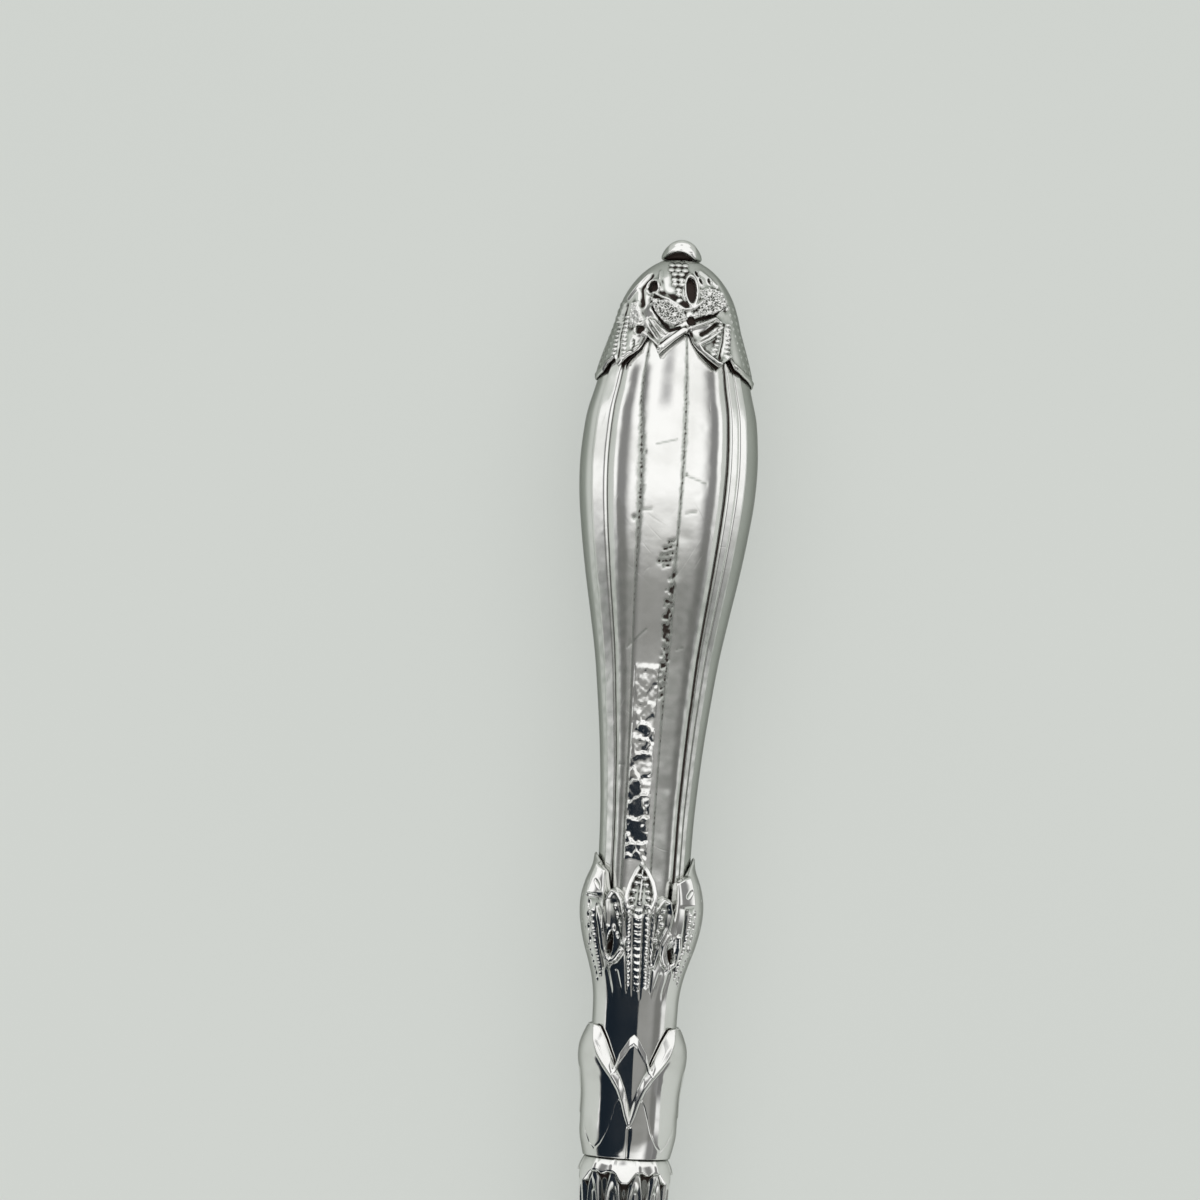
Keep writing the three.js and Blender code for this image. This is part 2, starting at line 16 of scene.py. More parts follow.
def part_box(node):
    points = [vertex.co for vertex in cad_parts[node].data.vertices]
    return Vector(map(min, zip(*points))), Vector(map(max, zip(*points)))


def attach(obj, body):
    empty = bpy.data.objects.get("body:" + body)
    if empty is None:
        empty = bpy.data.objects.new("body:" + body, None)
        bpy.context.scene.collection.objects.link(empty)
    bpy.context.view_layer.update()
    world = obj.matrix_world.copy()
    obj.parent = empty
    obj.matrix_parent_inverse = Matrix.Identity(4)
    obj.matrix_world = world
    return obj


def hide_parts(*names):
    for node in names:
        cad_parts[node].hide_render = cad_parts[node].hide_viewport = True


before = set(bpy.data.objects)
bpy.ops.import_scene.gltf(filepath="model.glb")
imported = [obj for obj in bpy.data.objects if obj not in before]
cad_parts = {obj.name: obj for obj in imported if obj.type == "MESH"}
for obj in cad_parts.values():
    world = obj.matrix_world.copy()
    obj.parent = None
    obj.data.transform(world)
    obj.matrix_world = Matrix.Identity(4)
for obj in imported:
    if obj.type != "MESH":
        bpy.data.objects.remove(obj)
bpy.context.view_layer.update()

print("nodes:", ", ".join(sorted(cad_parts)))

# %% [markdown]
# ## Measuring along the handle
# A turned handle is easiest to describe as its maker would: by the station, which is the distance down
# from the bead's crown, by the radius, and by the angle round the axis. Angle 0 faces up out of the
# table and grows to the right. These values are in millimetres and degrees, and become metres only
# when a vertex is placed.

# %% Stations, radii and angles
MM = 0.001
bead_low, bead_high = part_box("finial_bead")
TIP = bead_high.y / MM  # where station 0 lies along Y
AXIS = (bead_low.z + bead_high.z) / 2 / MM  # height of the handle's axis over the table


def smooth_curve(points):
    """A smooth function through (x, y) points, level beyond its ends."""
    xs, ys = np.array(points, float).T
    slopes = np.gradient(ys, xs)

    def at(x):
        k = np.clip(np.searchsorted(xs, x) - 1, 0, len(xs) - 2)
        step = xs[k + 1] - xs[k]
        rise = ys[k + 1] - ys[k]
        t = np.clip((x - xs[k]) / step, 0.0, 1.0)
        bend = (slopes[k] * step - rise) * (1 - t) - (slopes[k + 1] * step - rise) * t
        return ys[k] + rise * t + t * (1 - t) * bend

    return at


def straight_curve(points):
    """The same, with straight lines between the points."""
    xs, ys = np.array(points, float).T
    return lambda x: np.interp(x, xs, ys)


def ease(x, low, high):
    """0 below low, 1 above high, and an S-shaped step between them."""
    t = np.clip((x - low) / (high - low), 0.0, 1.0)
    return t * t * (3 - 2 * t)


print(f"crown of the bead at y = {TIP:.2f} mm, axis {AXIS:.2f} mm above the table")

# %% [markdown]
# ## The camera
# The photograph looks straight at the handle's front from about a third of a metre, a little from the
# tines' side, with the handle leaning slightly to the right. A long lens at that distance gives the
# same mild perspective. The camera's three axes are worked out here, which avoids juggling angles.

# %% Camera
SENSOR = 36.0
PICTURE_WIDTH = 107.1  # of the photograph, measured at the handle's axis
CAMERA_DISTANCE = 350.0
AIM_STATION = 32.7
AIM_LEFT = 5.40  # the picture's middle lies this far left of the axis
LEAN = math.radians(3.6)
TILT = math.radians(4.0)

sight = Vector((0.0, -math.sin(TILT), math.cos(TILT)))
level_right = Vector((1.0, 0.0, 0.0))
level_up = sight.cross(level_right)
right = math.cos(LEAN) * level_right + math.sin(LEAN) * level_up
up = math.cos(LEAN) * level_up - math.sin(LEAN) * level_right
aim = Vector((0.0, TIP - AIM_STATION, AXIS)) - AIM_LEFT * right

camera = bpy.data.objects.new("camera", bpy.data.cameras.new("camera"))
camera.data.sensor_width = SENSOR
camera.data.lens = SENSOR * CAMERA_DISTANCE / PICTURE_WIDTH
camera.data.clip_start = 0.01
camera.matrix_world = Matrix.Translation((aim + CAMERA_DISTANCE * sight) * MM) @ Matrix(
    (right, up, sight)
).transposed().to_4x4()
bpy.context.scene.collection.objects.link(camera)
bpy.context.scene.camera = camera
bpy.context.scene.view_settings.view_transform = "Standard"
print(f"lens {camera.data.lens:.0f} mm")

# %% [markdown]
# ## Shader arithmetic
# Node trees grow long when every sum is wired by hand. This small class wraps a socket, so that plain
# Python arithmetic adds the Math nodes, and one method adds any other node. Each finish starts from an
# empty material.


# %% A socket that can be added and multiplied
class Wire:
    """A socket of a node tree, or the bare tree when it has none yet."""

    def __init__(self, tree, socket=None):
        self.tree = tree
        self.socket = socket

    def node(self, kind, settings, inputs, output=0):
        made = self.tree.nodes.new(kind)
        for key, value in settings.items():
            setattr(made, key, value)
        for key, value in inputs.items():
            if isinstance(value, Wire):
                self.tree.links.new(value.socket, made.inputs[key])
            else:
                made.inputs[key].default_value = value
        return Wire(self.tree, made.outputs[output]) if made.outputs else None

    def math(self, operation, first, second=0.0):
        return self.node("ShaderNodeMath", {"operation": operation}, {0: first, 1: second})

    def __add__(self, other):
        return self.math("ADD", self, other)

    def __sub__(self, other):
        return self.math("SUBTRACT", self, other)

    def __rsub__(self, other):
        return self.math("SUBTRACT", other, self)

    def __mul__(self, other):
        return self.math("MULTIPLY", self, other)

    def __truediv__(self, other):
        return self.math("DIVIDE", self, other)

    __radd__ = __add__
    __rmul__ = __mul__

    def ease(self, low, high):
        settings = {"interpolation_type": "SMOOTHSTEP"}
        return self.node("ShaderNodeMapRange", settings, {0: self, 1: low, 2: high})

    def mix(self, first, second):
        settings = {"data_type": "RGBA"}
        return self.node("ShaderNodeMix", settings, {0: self, 6: first, 7: second}, 2)

    def part(self, axis):
        """One coordinate of a place."""
        return self.node("ShaderNodeSeparateXYZ", {}, {0: self}, axis)

    def clouds(self, scale, detail):
        """Soft noise over a place."""
        inputs = {"Vector": self, "Scale": scale, "Detail": detail}
        return self.node("ShaderNodeTexNoise", {}, inputs)


def new_finish(name):
    """An empty material, the wire that its nodes are added to, and places on the object."""
    finish = bpy.data.materials.new(name)
    finish.use_nodes = True
    finish.node_tree.nodes.clear()
    tree = Wire(finish.node_tree)
    return finish, tree, tree.node("ShaderNodeTexCoord", {}, {}, "Object")


print("shader arithmetic ready")

# %% [markdown]
# ## Light, cards and table
# Polished silver shows nothing but its surroundings, so the light is most of its looks. The world is a
# white tent with a dim belt low on each side, which draws the soft grey bands down the grip, and with
# dusk below the belts at the tines' end, which dims the lower reeds. Four cards hang over the handle,
# as silver is often lit. A large grey one takes the glare off the lower grip, and a darker net below it
# dims the grip further. A small one beyond the crown draws a soft streak under the cap. A black one
# leans over the left of the collar and the petals and gives them dark, crisp bands. A card close by is
# reflected only in the pieces below it, which a world alone could not do. The table glows a little to
# the eye, which softens the fork's shadow, and less to the silver, whose sides show that shadow.

# %% World
TENT = (1.1, 1.1, 1.09, 1.0)
WALL = (0.57, 0.60, 0.565, 1.0)
BLACK = (0.0, 0.0, 0.0, 1.0)
HORIZON = 0.02  # how high over the table the tent begins
BELT_SHADE = 0.78
DUSK_SHADE = 0.82

world = bpy.data.worlds.new("tent")
bpy.context.scene.world = world
world.use_nodes = True
world.node_tree.nodes.clear()
sky = Wire(world.node_tree)
heading = sky.node("ShaderNodeTexCoord", {}, {}, "Generated")
north = heading.part(1)
height = heading.part(2)
slant = sky.math("ABSOLUTE", heading.part(0)) / sky.math("MAXIMUM", height, HORIZON)
# The belts stop short of the crown's end of the tent
belt = slant.ease(0.78, 1.6) * (1 - slant.ease(2.6, 5.0)) * (1 - north.ease(0.57, 0.64))
dusk = slant.ease(2.0, 4.0) * (1 - north.ease(-0.27, 0.04))
tent = (1 - BELT_SHADE * belt - DUSK_SHADE * dusk * (1 - belt)).mix(BLACK, TENT)
lit = height.ease(0.0, HORIZON).mix(WALL, tent)
background = sky.node("ShaderNodeBackground", {}, {"Color": lit, "Strength": 1.0})
sky.node("ShaderNodeOutputWorld", {}, {"Surface": background})
print("world has", len(world.node_tree.nodes), "nodes")


# %% Cards over the handle
def new_object(bm, name, finish):
    """An object in the scene made from a bmesh, which is freed."""
    mesh = bpy.data.meshes.new(name)
    bm.to_mesh(mesh)
    bm.free()
    mesh.materials.append(finish)
    made = bpy.data.objects.new(name, mesh)
    bpy.context.scene.collection.objects.link(made)
    return made


def hang_card(name, colour, left, right, stations, fade, soft, density=1.0):
    """A card between two edges, given as side and rise, that fades in from all its sides."""
    finish, tree, place = new_finish(name)
    across = place.part(0)
    along = place.part(1)
    start = (TIP - stations[0]) * MM
    stop = (TIP - stations[1]) * MM
    cover = along.ease(stop, stop + fade * MM) * (1 - along.ease(start - fade * MM, start))
    cover = cover * across.ease(left[0] * MM, (left[0] + soft) * MM)
    cover = density * cover * (1 - across.ease((right[0] - soft) * MM, right[0] * MM))
    clear = tree.node("ShaderNodeBsdfTransparent", {}, {})
    glow = tree.node("ShaderNodeEmission", {}, {"Color": colour})
    shader = tree.node("ShaderNodeMixShader", {}, {0: cover, 1: clear, 2: glow})
    tree.node("ShaderNodeOutputMaterial", {}, {"Surface": shader})
    bm = bmesh.new()
    bmesh.ops.create_grid(bm, x_segments=1, y_segments=1, size=0.5)
    width = math.hypot(right[0] - left[0], right[1] - left[1])
    slope = math.atan2(right[1] - left[1], right[0] - left[0])
    middle = ((left[0] + right[0]) / 2, TIP - sum(stations) / 2, AXIS + (left[1] + right[1]) / 2)
    bmesh.ops.scale(bm, vec=Vector((width, stations[1] - stations[0], 1.0)) * MM, verts=bm.verts)
    bmesh.ops.rotate(bm, matrix=Matrix.Rotation(-slope, 3, "Y"), verts=bm.verts)
    bmesh.ops.translate(bm, vec=Vector(middle) * MM, verts=bm.verts)
    card = new_object(bm, name, finish)
    card.visible_camera = False
    card.visible_diffuse = False
    card.visible_transmission = False
    card.visible_shadow = False


hang_card("grey_card", (0.62, 0.62, 0.60, 1.0), (-430.0, 300.0), (430.0, 300.0), (22.0, 330.0),
          fade=110.0, soft=310.0)
hang_card("net_card", (0.19, 0.19, 0.18, 1.0), (-420.0, 100.0), (420.0, 100.0), (40.0, 150.0),
          fade=24.0, soft=180.0, density=0.81)
hang_card("small_card", (0.5, 0.5, 0.5, 1.0), (-80.0, 150.0), (25.0, 150.0), (-200.0, -35.0),
          fade=70.0, soft=52.0)
hang_card("black_card", (0.010, 0.016, 0.024, 1.0), (-50.0, 5.0), (12.0, 80.0), (62.5, 112.0),
          fade=3.0, soft=1.5)
print("four cards hung")

# %% Table
TABLE = (0.65, 0.677, 0.645, 1.0)
TABLE_SHADE = (0.642, 0.67, 0.638, 1.0)
TABLE_HALF = 6.0  # in metres

table_finish, tree, place = new_finish("pale table")
tone = place.clouds(14.0, 1.0).ease(0.35, 0.65).mix(TABLE_SHADE, TABLE)
board = tree.node("ShaderNodeBsdfPrincipled", {}, {"Base Color": tone, "Roughness": 0.9})
glow = tree.node("ShaderNodeEmission", {}, {"Color": tone})
camera_ray = tree.node("ShaderNodeLightPath", {}, {}, "Is Camera Ray")
glossy_ray = tree.node("ShaderNodeLightPath", {}, {}, "Is Glossy Ray")
clear_ray = tree.node("ShaderNodeLightPath", {}, {}, "Is Transmission Ray")
seen = 0.6 * tree.math("MAXIMUM", camera_ray, clear_ray) + 0.1 * glossy_ray
shader = tree.node("ShaderNodeMixShader", {}, {0: seen, 1: board, 2: glow})
tree.node("ShaderNodeOutputMaterial", {}, {"Surface": shader})
bm = bmesh.new()
bmesh.ops.create_grid(bm, x_segments=1, y_segments=1, size=TABLE_HALF)
table = new_object(bm, "table", table_finish)
print("table is", 2 * TABLE_HALF, "m square")

# %% [markdown]
# ## Silver
# Old silver is bright on its worn crests, hazy where fingers and cloths pass, and brown where polish
# never reaches. Each piece carries a vertex attribute that runs from 0 on a crest to 1 in a recess. It
# holds that tarnish and film, and painted shade as well: greyer sides, which stand in for the dimmer
# reflections there, and painted shadow where the grip runs under the cap and into the collar. It drives
# the colour, the roughness and how metallic the surface is. Noise in Object coordinates adds the haze,
# hair scratches and small planishing waves, which stay fixed to the metal. The specular tint of a metal
# is its colour at a glancing angle. Here it is greyer, because the film on old silver dims such
# reflections and draws a soft line round every form.

# %% Silver finish
BRIGHT = (0.87, 0.87, 0.855, 1.0)
HAZE = (0.76, 0.76, 0.74, 1.0)
# The grey film and the brown tarnish also colour the painted shade on the sides and the painted shadow
# under the cap.
GREY_FILM = (0.46, 0.48, 0.45, 1.0)
TARNISH = (0.022, 0.013, 0.010, 1.0)
EDGE_TINT = (0.5, 0.51, 0.49, 1.0)


def scratch_lines(tree, place, turn, spacing, mask_scale):
    """Thin broken lines: the places where a stretched noise crosses its middle value."""
    settings = {"vector_type": "POINT"}
    inputs = {"Vector": place, "Rotation": (0.0, 0.0, math.radians(turn))}
    turned = tree.node("ShaderNodeMapping", settings, inputs)
    inputs = {"Vector": turned, "Scale": (1.0, 0.06, 1.0)}
    stretched = tree.node("ShaderNodeMapping", settings, inputs)
    from_middle = tree.math("ABSOLUTE", stretched.clouds(spacing, 0.0) - 0.5)
    return (1 - from_middle.ease(0.0, 0.018)) * place.clouds(mask_scale, 2.0).ease(0.5, 0.66)


def silver(name, roughness, haze, scratches, waves):
    """A polished silver that dulls and browns with the piece's attribute of tarnish and painted shade.
    """
    finish, tree, place = new_finish(name)
    soil = tree.node("ShaderNodeAttribute", {"attribute_name": "soil"}, {}, "Fac")
    cloud = place.clouds(260.0, 4.0)
    speckle = place.clouds(2600.0, 2.0)
    hairs = scratch_lines(tree, place, 28.0, 700.0, 300.0)
    rubs = scratch_lines(tree, place, -52.0, 420.0, 190.0)
    marks = tree.math("MAXIMUM", hairs, rubs)
    # These masks follow the attribute, so they carry its painted shade and painted shadow too.
    film = (soil + 0.1 * (cloud - 0.5)).ease(0.04, 0.5)
    crust = (soil + 0.25 * (speckle - 0.5)).ease(0.52, 0.92)
    worn = cloud.ease(0.45, 0.75).mix(BRIGHT, HAZE)
    colour = crust.mix(film.mix(worn, GREY_FILM), TARNISH)
    gloss = roughness + haze * cloud.ease(0.35, 0.75) + 0.1 * film + 0.4 * crust
    relief = waves * place.clouds(900.0, 1.5) - scratches * marks
    bump = tree.node("ShaderNodeBump", {}, {"Height": relief, "Distance": 0.00004})
    shader = tree.node(
        "ShaderNodeBsdfPrincipled",
        {},
        {
            "Base Color": colour,
            "Metallic": 1 - 0.85 * crust,
            "Specular Tint": EDGE_TINT,
            "Roughness": gloss + 0.15 * scratches * marks,
            "Normal": bump,
        },
    )
    tree.node("ShaderNodeOutputMaterial", {}, {"Surface": shader})
    return finish


SHEET = silver("sheet silver", 0.1, 0.08, 0.06, 0.3)
CAST = silver("cast silver", 0.07, 0.05, 0.05, 0.2)
FORGED = silver("forged silver", 0.13, 0.08, 0.25, 0.15)
print("finishes:", SHEET.name, CAST.name, FORGED.name)

# %% [markdown]
# ## A wall that is rolled up and then shaped
# Every mount on this handle is a thick-walled sleeve with a leafy edge. Each one starts as the same
# plain sheet. It is rolled up twice: its rows go round the wall's own section, outside, over the seat,
# back inside and over the free edge, and its columns go round the axis. Spinning a section would give
# the same ring, but hundreds of spin steps are slow. The ring's height runs from 0 at the free edge
# to 1 at the seat, and its depth from 0 outside to 1 inside. Only afterwards are the vertices moved to
# their stations and radii, as a sculptor pushes clay.

# %% Rolled walls
SEAT_ROWS = 2
EDGE_ROWS = 4


def rolled_wall(columns, outer_rows, inner_rows, arc=360.0):
    """A rolled sheet, with the angle in degrees, the rise and the depth of its vertices."""
    rows = np.cumsum([0, outer_rows, SEAT_ROWS, inner_rows, EDGE_ROWS])
    bm = bmesh.new()
    bmesh.ops.create_grid(bm, x_segments=columns, y_segments=rows[-1], size=1.0)
    co = np.array([vert.co for vert in bm.verts])
    turn = np.radians(arc) / 2 * co[:, 0]
    row = (co[:, 1] + 1) / 2 * rows[-1]
    radius = np.interp(row, rows, [2.0, 2.0, 1.0, 1.0, 2.0])
    rise = np.interp(row, rows, [0.0, 1.0, 1.0, 0.0, 0.0])
    places = np.stack((radius * np.sin(turn), radius * np.cos(turn), rise), 1)
    for vert, place in zip(bm.verts, places):
        vert.co = place
    bmesh.ops.remove_doubles(bm, verts=bm.verts, dist=0.0001)
    if arc < 360.0:
        ends = [edge for edge in bm.edges if edge.is_boundary]
        bmesh.ops.holes_fill(bm, edges=ends)
    co = np.array([vert.co for vert in bm.verts])
    angle = np.degrees(np.arctan2(co[:, 0], co[:, 1]))
    return bm, angle, co[:, 2], 2.0 - np.hypot(co[:, 0], co[:, 1])


def place_wall(bm, angle, station, radius):
    """Move every vertex of a wall to its place on the handle."""
    turn = np.radians(angle)
    places = np.stack((radius * np.sin(turn), TIP - station, AXIS + radius * np.cos(turn)), 1)
    for vert, place in zip(bm.verts, places * MM):
        vert.co = place
    bmesh.ops.recalc_face_normals(bm, faces=bm.faces)


def through_wall(face, inside, depth):
    """A value that runs from a wall's face to its inside."""
    return face + (inside - face) * depth


def wall_soil(depth, face, inside=1.0):
    """Tarnish and painted shade of a wall whose edges are clean; its inside takes the inside value."""
    return np.where(depth > 0.9, inside, np.where(depth > 0.1, 0.0, face))


def make_piece(bm, name, node, finish, soil):
    """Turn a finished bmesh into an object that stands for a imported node."""
    piece = new_object(bm, name, finish)
    piece.data.shade_smooth()
    # The attribute holds tarnish together with painted shade and painted shadow.
    layer = piece.data.attributes.new("soil", "FLOAT", "POINT")
    layer.data.foreach_set("value", np.asarray(soil, np.float32))
    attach(piece, "root")
    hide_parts(node)
    print(f"{name}: {len(piece.data.vertices)} vertices")
    return piece


# %% [markdown]
# ## Chasing
# Silver is chased: a row of small punches raises veins, rims and beads and sinks the hollows between
# them. This class holds a piece's face laid out flat, in millimetres across and along, and the height
# that the tools have left at each vertex. A traced line can be a ridge or a groove, and clearing a line
# makes room for one. A band is a flat strip with steep sides. A punch sinks an eyelet with a raised
# rim. A bead is a round bump with a crisp foot. A swell raises or sinks a lobe and can stipple it.


# %% Chasing tools
class Chasing:
    def __init__(self, angle, station, outline):
        self.outline = outline
        self.x = np.radians(angle) * outline(station)
        self.s = station
        self.height = np.zeros(len(station))

    def spot(self, angle, station):
        return math.radians(angle) * float(self.outline(station)), station

    def beside(self, points):
        """How far each vertex lies from a line."""
        spots = [self.spot(*point) for point in points]
        nearest = np.full(len(self.s), np.inf)
        for (x0, s0), (x1, s1) in zip(spots, spots[1:]):
            dx, ds = x1 - x0, s1 - s0
            t = ((self.x - x0) * dx + (self.s - s0) * ds) / (dx * dx + ds * ds)
            t = np.clip(t, 0.0, 1.0)
            nearest = np.minimum(nearest, np.hypot(self.x - x0 - t * dx, self.s - s0 - t * ds))
        return nearest

    def line(self, points, width):
        """1 along a line, fading to 0 beside it."""
        return np.exp(-((self.beside(points) / width) ** 2))

    def band(self, points, half_width, height):
        within = 1 - ease(self.beside(points), half_width - 0.05, half_width + 0.07)
        self.height += height * within

    def trace(self, points, width, height):
        self.height += height * self.line(points, width)

    def clear(self, points, width):
        self.height *= 1 - self.line(points, width)

    def punch(self, angle, station, half_width, half_length, lean, depth, rim):
        x0, s0 = self.spot(angle, station)
        turn = math.radians(lean)
        across = (self.x - x0) * math.cos(turn) + (self.s - s0) * math.sin(turn)
        along = (self.s - s0) * math.cos(turn) - (self.x - x0) * math.sin(turn)
        reach = np.hypot(across / half_width, along / half_length)
        self.height -= depth * (1 - ease(reach, 0.7, 1.1))
        self.height += rim * np.exp(-(((reach - 1.3) / 0.2) ** 2))

    def bead(self, angle, station, half_width, half_length, height):
        x0, s0 = self.spot(angle, station)
        reach = ((self.x - x0) / half_width) ** 2 + ((self.s - s0) / half_length) ** 2
        self.height += height * np.sqrt(np.clip(1 - reach, 0.0, 1.0))

    def beads(self, spots, *size):
        for spot in spots:
            self.bead(*spot, *size)

    def bead_row(self, points, pitch, half_width, half_length, height):
        turns, stations = np.array(points, float).T
        for station in np.arange(stations[0], stations[-1], pitch):
            turn = np.interp(station, stations, turns)
            self.bead(turn, station, half_width, half_length, height)

    def swell(self, points, height, soft, dots=0.0, pitch=0.3):
        corners = [*points, points[0]]
        nearest = self.beside(corners)
        spots = [self.spot(*corner) for corner in corners]
        inside = np.zeros(len(self.s), bool)
        for (x0, s0), (x1, s1) in zip(spots, spots[1:]):
            crosses = (s0 > self.s) != (s1 > self.s)
            slope = (x1 - x0) / (s1 - s0) if s1 != s0 else 0.0
            inside ^= crosses & (self.x < x0 + (self.s - s0) * slope)
        lobe = ease(np.where(inside, nearest, -nearest), -soft, soft)
        self.height += lobe * (height + dots * stipple(self.x, self.s, pitch))


def stipple(x, s, pitch):
    """Close, uneven dots, as a small round punch leaves them."""
    turn = 2 * np.pi / pitch
    across = np.cos(turn * x + 1.9 * np.sin(0.53 * turn * s))
    return across * np.cos(turn * s + 1.7 * np.sin(0.61 * turn * x))


def grain(x, s, size):
    """Uneven patches of about the given size, from about -1 to 1."""
    return np.array([noise.noise((u / size, v / size, 0.0)) for u, v in zip(x, s)])


def settled_soil(height, angle, rise, rows, columns, scale):
    """Soil on a rolled wall's face: how far each vertex lies below the level round it."""
    row = np.rint(rise * rows).astype(int)
    column = np.rint((angle + 180.0) * columns / 360.0).astype(int) % columns
    sheet = np.zeros((rows + 1, columns))
    sheet[row, column] = height
    level = sheet
    order = np.arange(rows + 1)
    for reach in (1, 2, 3, 5):
        higher = level[np.clip(order + reach, 0, rows)]
        lower = level[np.clip(order - reach, 0, rows)]
        left = np.roll(level, reach, 1)
        level = (level + higher + lower + left + np.roll(level, -reach, 1)) / 5
    return np.clip((level - sheet) / scale, 0.0, 1.0)[row, column]


print("chasing tools: trace, clear, band, punch, bead, swell")

# %% [markdown]
# ## The finial bead
# A small cast button closes the crown. It is worn smooth on top and has a dark hollow under its front,
# like a bud that has just opened. The profile is spun. Then the dome's top is drawn out to the front
# and the back, and the hollow is pushed in.

# %% Finial bead
BEAD_STEPS = 72
BEAD_HOLLOW = 0.62
BEAD_CROWN = TIP - 0.3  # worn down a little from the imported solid's crown
bead_profile = smooth_curve([
    (0.0, 0.0), (0.03, 0.34), (0.09, 0.58), (0.2, 0.83), (0.37, 1.08), (0.6, 1.3), (0.86, 1.5),
    (1.15, 1.67), (1.44, 1.78), (1.66, 1.8), (1.8, 1.7), (1.88, 1.45), (1.92, 1.1), (1.95, 0.8),
])
bead_bulge = straight_curve([(0.0, 2.0), (0.06, 1.7), (0.2, 1.32), (0.7, 1.08), (1.3, 1.0)])
bead_stations = [*np.linspace(0.0, 0.4, 10) ** 2 / 0.4, *np.linspace(0.46, 1.95, 26), 2.4, 3.5]
bm = bmesh.new()
profile = []
for station in bead_stations:
    radius = float(bead_profile(station))
    profile.append(bm.verts.new((radius * MM, (BEAD_CROWN - station) * MM, AXIS * MM)))
profile.append(bm.verts.new((0.0, (BEAD_CROWN - 3.55) * MM, AXIS * MM)))
for first, second in zip(profile, profile[1:]):
    bm.edges.new((first, second))
bmesh.ops.spin(
    bm,
    geom=bm.verts[:] + bm.edges[:],
    cent=(0.0, 0.0, AXIS * MM),
    axis=(0.0, 1.0, 0.0),
    angle=2 * math.pi,
    steps=BEAD_STEPS,
    use_merge=True,
)
bmesh.ops.remove_doubles(bm, verts=bm.verts, dist=0.000002)
bead_soil = []
for vert in bm.verts:
    across = vert.co.x / MM
    station = BEAD_CROWN - vert.co.y / MM
    front = (vert.co.z / MM - AXIS) * bead_bulge(station)
    brow = 1.2 + 0.32 * (across + 0.3) ** 2
    hollow = ease(station, brow, brow + 0.1) * ease(front, 0.5, 0.9) * (1 - ease(station, 1.95, 2.0))
    vert.co.z = (AXIS + front - BEAD_HOLLOW * hollow) * MM
    # Painted shade greys the bead's two sides, standing in for the dimmer reflections there.
    shoulder = 0.45 * ease(abs(across), 1.05, 1.35)
    bead_soil.append(max(hollow, shoulder, ease(station, 1.75, 1.95)))
bmesh.ops.recalc_face_normals(bm, faces=bm.faces)
make_piece(bm, "bead", "finial_bead", SHEET, bead_soil)

# %% [markdown]
# ## The leaf cap
# The cap is a cast cone of acanthus leaves: a strip like corn runs down its front to a curled ridge
# between two eyelets, stippled lobes fold over below it, and pointed leaves hang over the grip with a
# dark gap under their tips, which painted shadow on the grip deepens. The rolled wall gets the leaves'
# outline from the stations of its edge, and the chasing does the rest. The back repeats the front.

# %% Leaf cap: outline
CAP_COLUMNS = 480
CAP_ROWS = 140
CROWN = 2.35
CROWN_UNDER = 4.35
CAP_LID = 0.8  # rise from which the inside runs inwards under the crown
cap_outline = smooth_curve([
    (2.35, 1.95), (2.75, 2.6), (3.4, 3.4), (4.2, 4.1), (5.5, 4.9), (6.8, 5.4),
    (8.3, 5.8), (9.7, 6.25), (11.1, 6.7), (12.6, 7.1), (13.4, 7.25),
])
cap_edge = straight_curve([
    (-90, 13.2), (-78, 13.1), (-67, 12.8), (-59, 12.0), (-52, 11.4), (-46, 12.5), (-39, 11.6),
    (-31, 10.9), (-29, 10.2), (-26, 9.7), (-20, 10.3), (-14, 11.4), (-9, 10.8), (-2, 10.0),
    (6, 9.3), (10, 9.3), (13, 10.2), (17, 10.8), (24, 11.5), (32, 12.2), (40, 11.6), (46, 11.2),
    (49, 12.1), (61, 12.6), (76, 13.0), (90, 13.2),
])
cap_standoff = straight_curve([
    (-90, 0.2), (-75, 0.25), (-60, 0.35), (-52, 0.3), (-46, 0.45), (-40, 0.45), (-30, 0.15),
    (-20, 0.08), (-12, 0.1), (0, 0.12), (8, 0.08), (14, 0.12), (22, 0.35), (32, 0.6), (42, 0.35),
    (50, 0.5), (60, 0.35), (75, 0.25), (90, 0.2),
])


def fold_half(angle):
    """Angles of the back brought round to the front."""
    return (angle + 90.0) % 180.0 - 90.0


bm, angle, rise, depth = rolled_wall(CAP_COLUMNS, CAP_ROWS, 10)
folded = fold_half(angle)
edge = cap_edge(folded)
face_station = edge + (CROWN - edge) * rise
inside_station = edge + (CROWN_UNDER - edge) * np.clip(rise / CAP_LID, 0.0, 1.0)
print("cap hangs down to station", edge.max())

# %% Leaf cap: corn strip and eyelets
cap = Chasing(folded, face_station, cap_outline)
for row, station in enumerate(np.arange(2.95, 6.6, 0.5)):
    middle = np.interp(station, [2.6, 7.0], [-6.0, 0.0])
    spread = np.degrees(0.62 / cap_outline(station))
    kernels = (-1, 0, 1) if station < 3.9 else ((-0.5, 0.5) if station < 5.4 else (0,))
    for kernel in kernels:
        cap.bead(middle + kernel * spread, station + 0.06 * (row % 2), 0.31, 0.25, 0.3)
cap.punch(-29.5, 5.3, 0.44, 0.56, 18, 0.9, 0.4)
cap.punch(11.5, 5.4, 0.42, 1.1, -6, 0.9, 0.36)
cap.bead(12, 6.0, 0.18, 0.24, 0.4)
cap.trace([(-33, 5.6), (-20, 6.1), (-11, 6.4), (-2, 6.9), (5, 7.3), (14, 7.1), (22, 6.4)], 0.17, 0.42)
cap.trace([(-20, 5.75), (-8, 6.1), (3, 6.75), (9, 6.75)], 0.3, -0.1)
print("corn strip, two eyelets and the curled ridge chased")

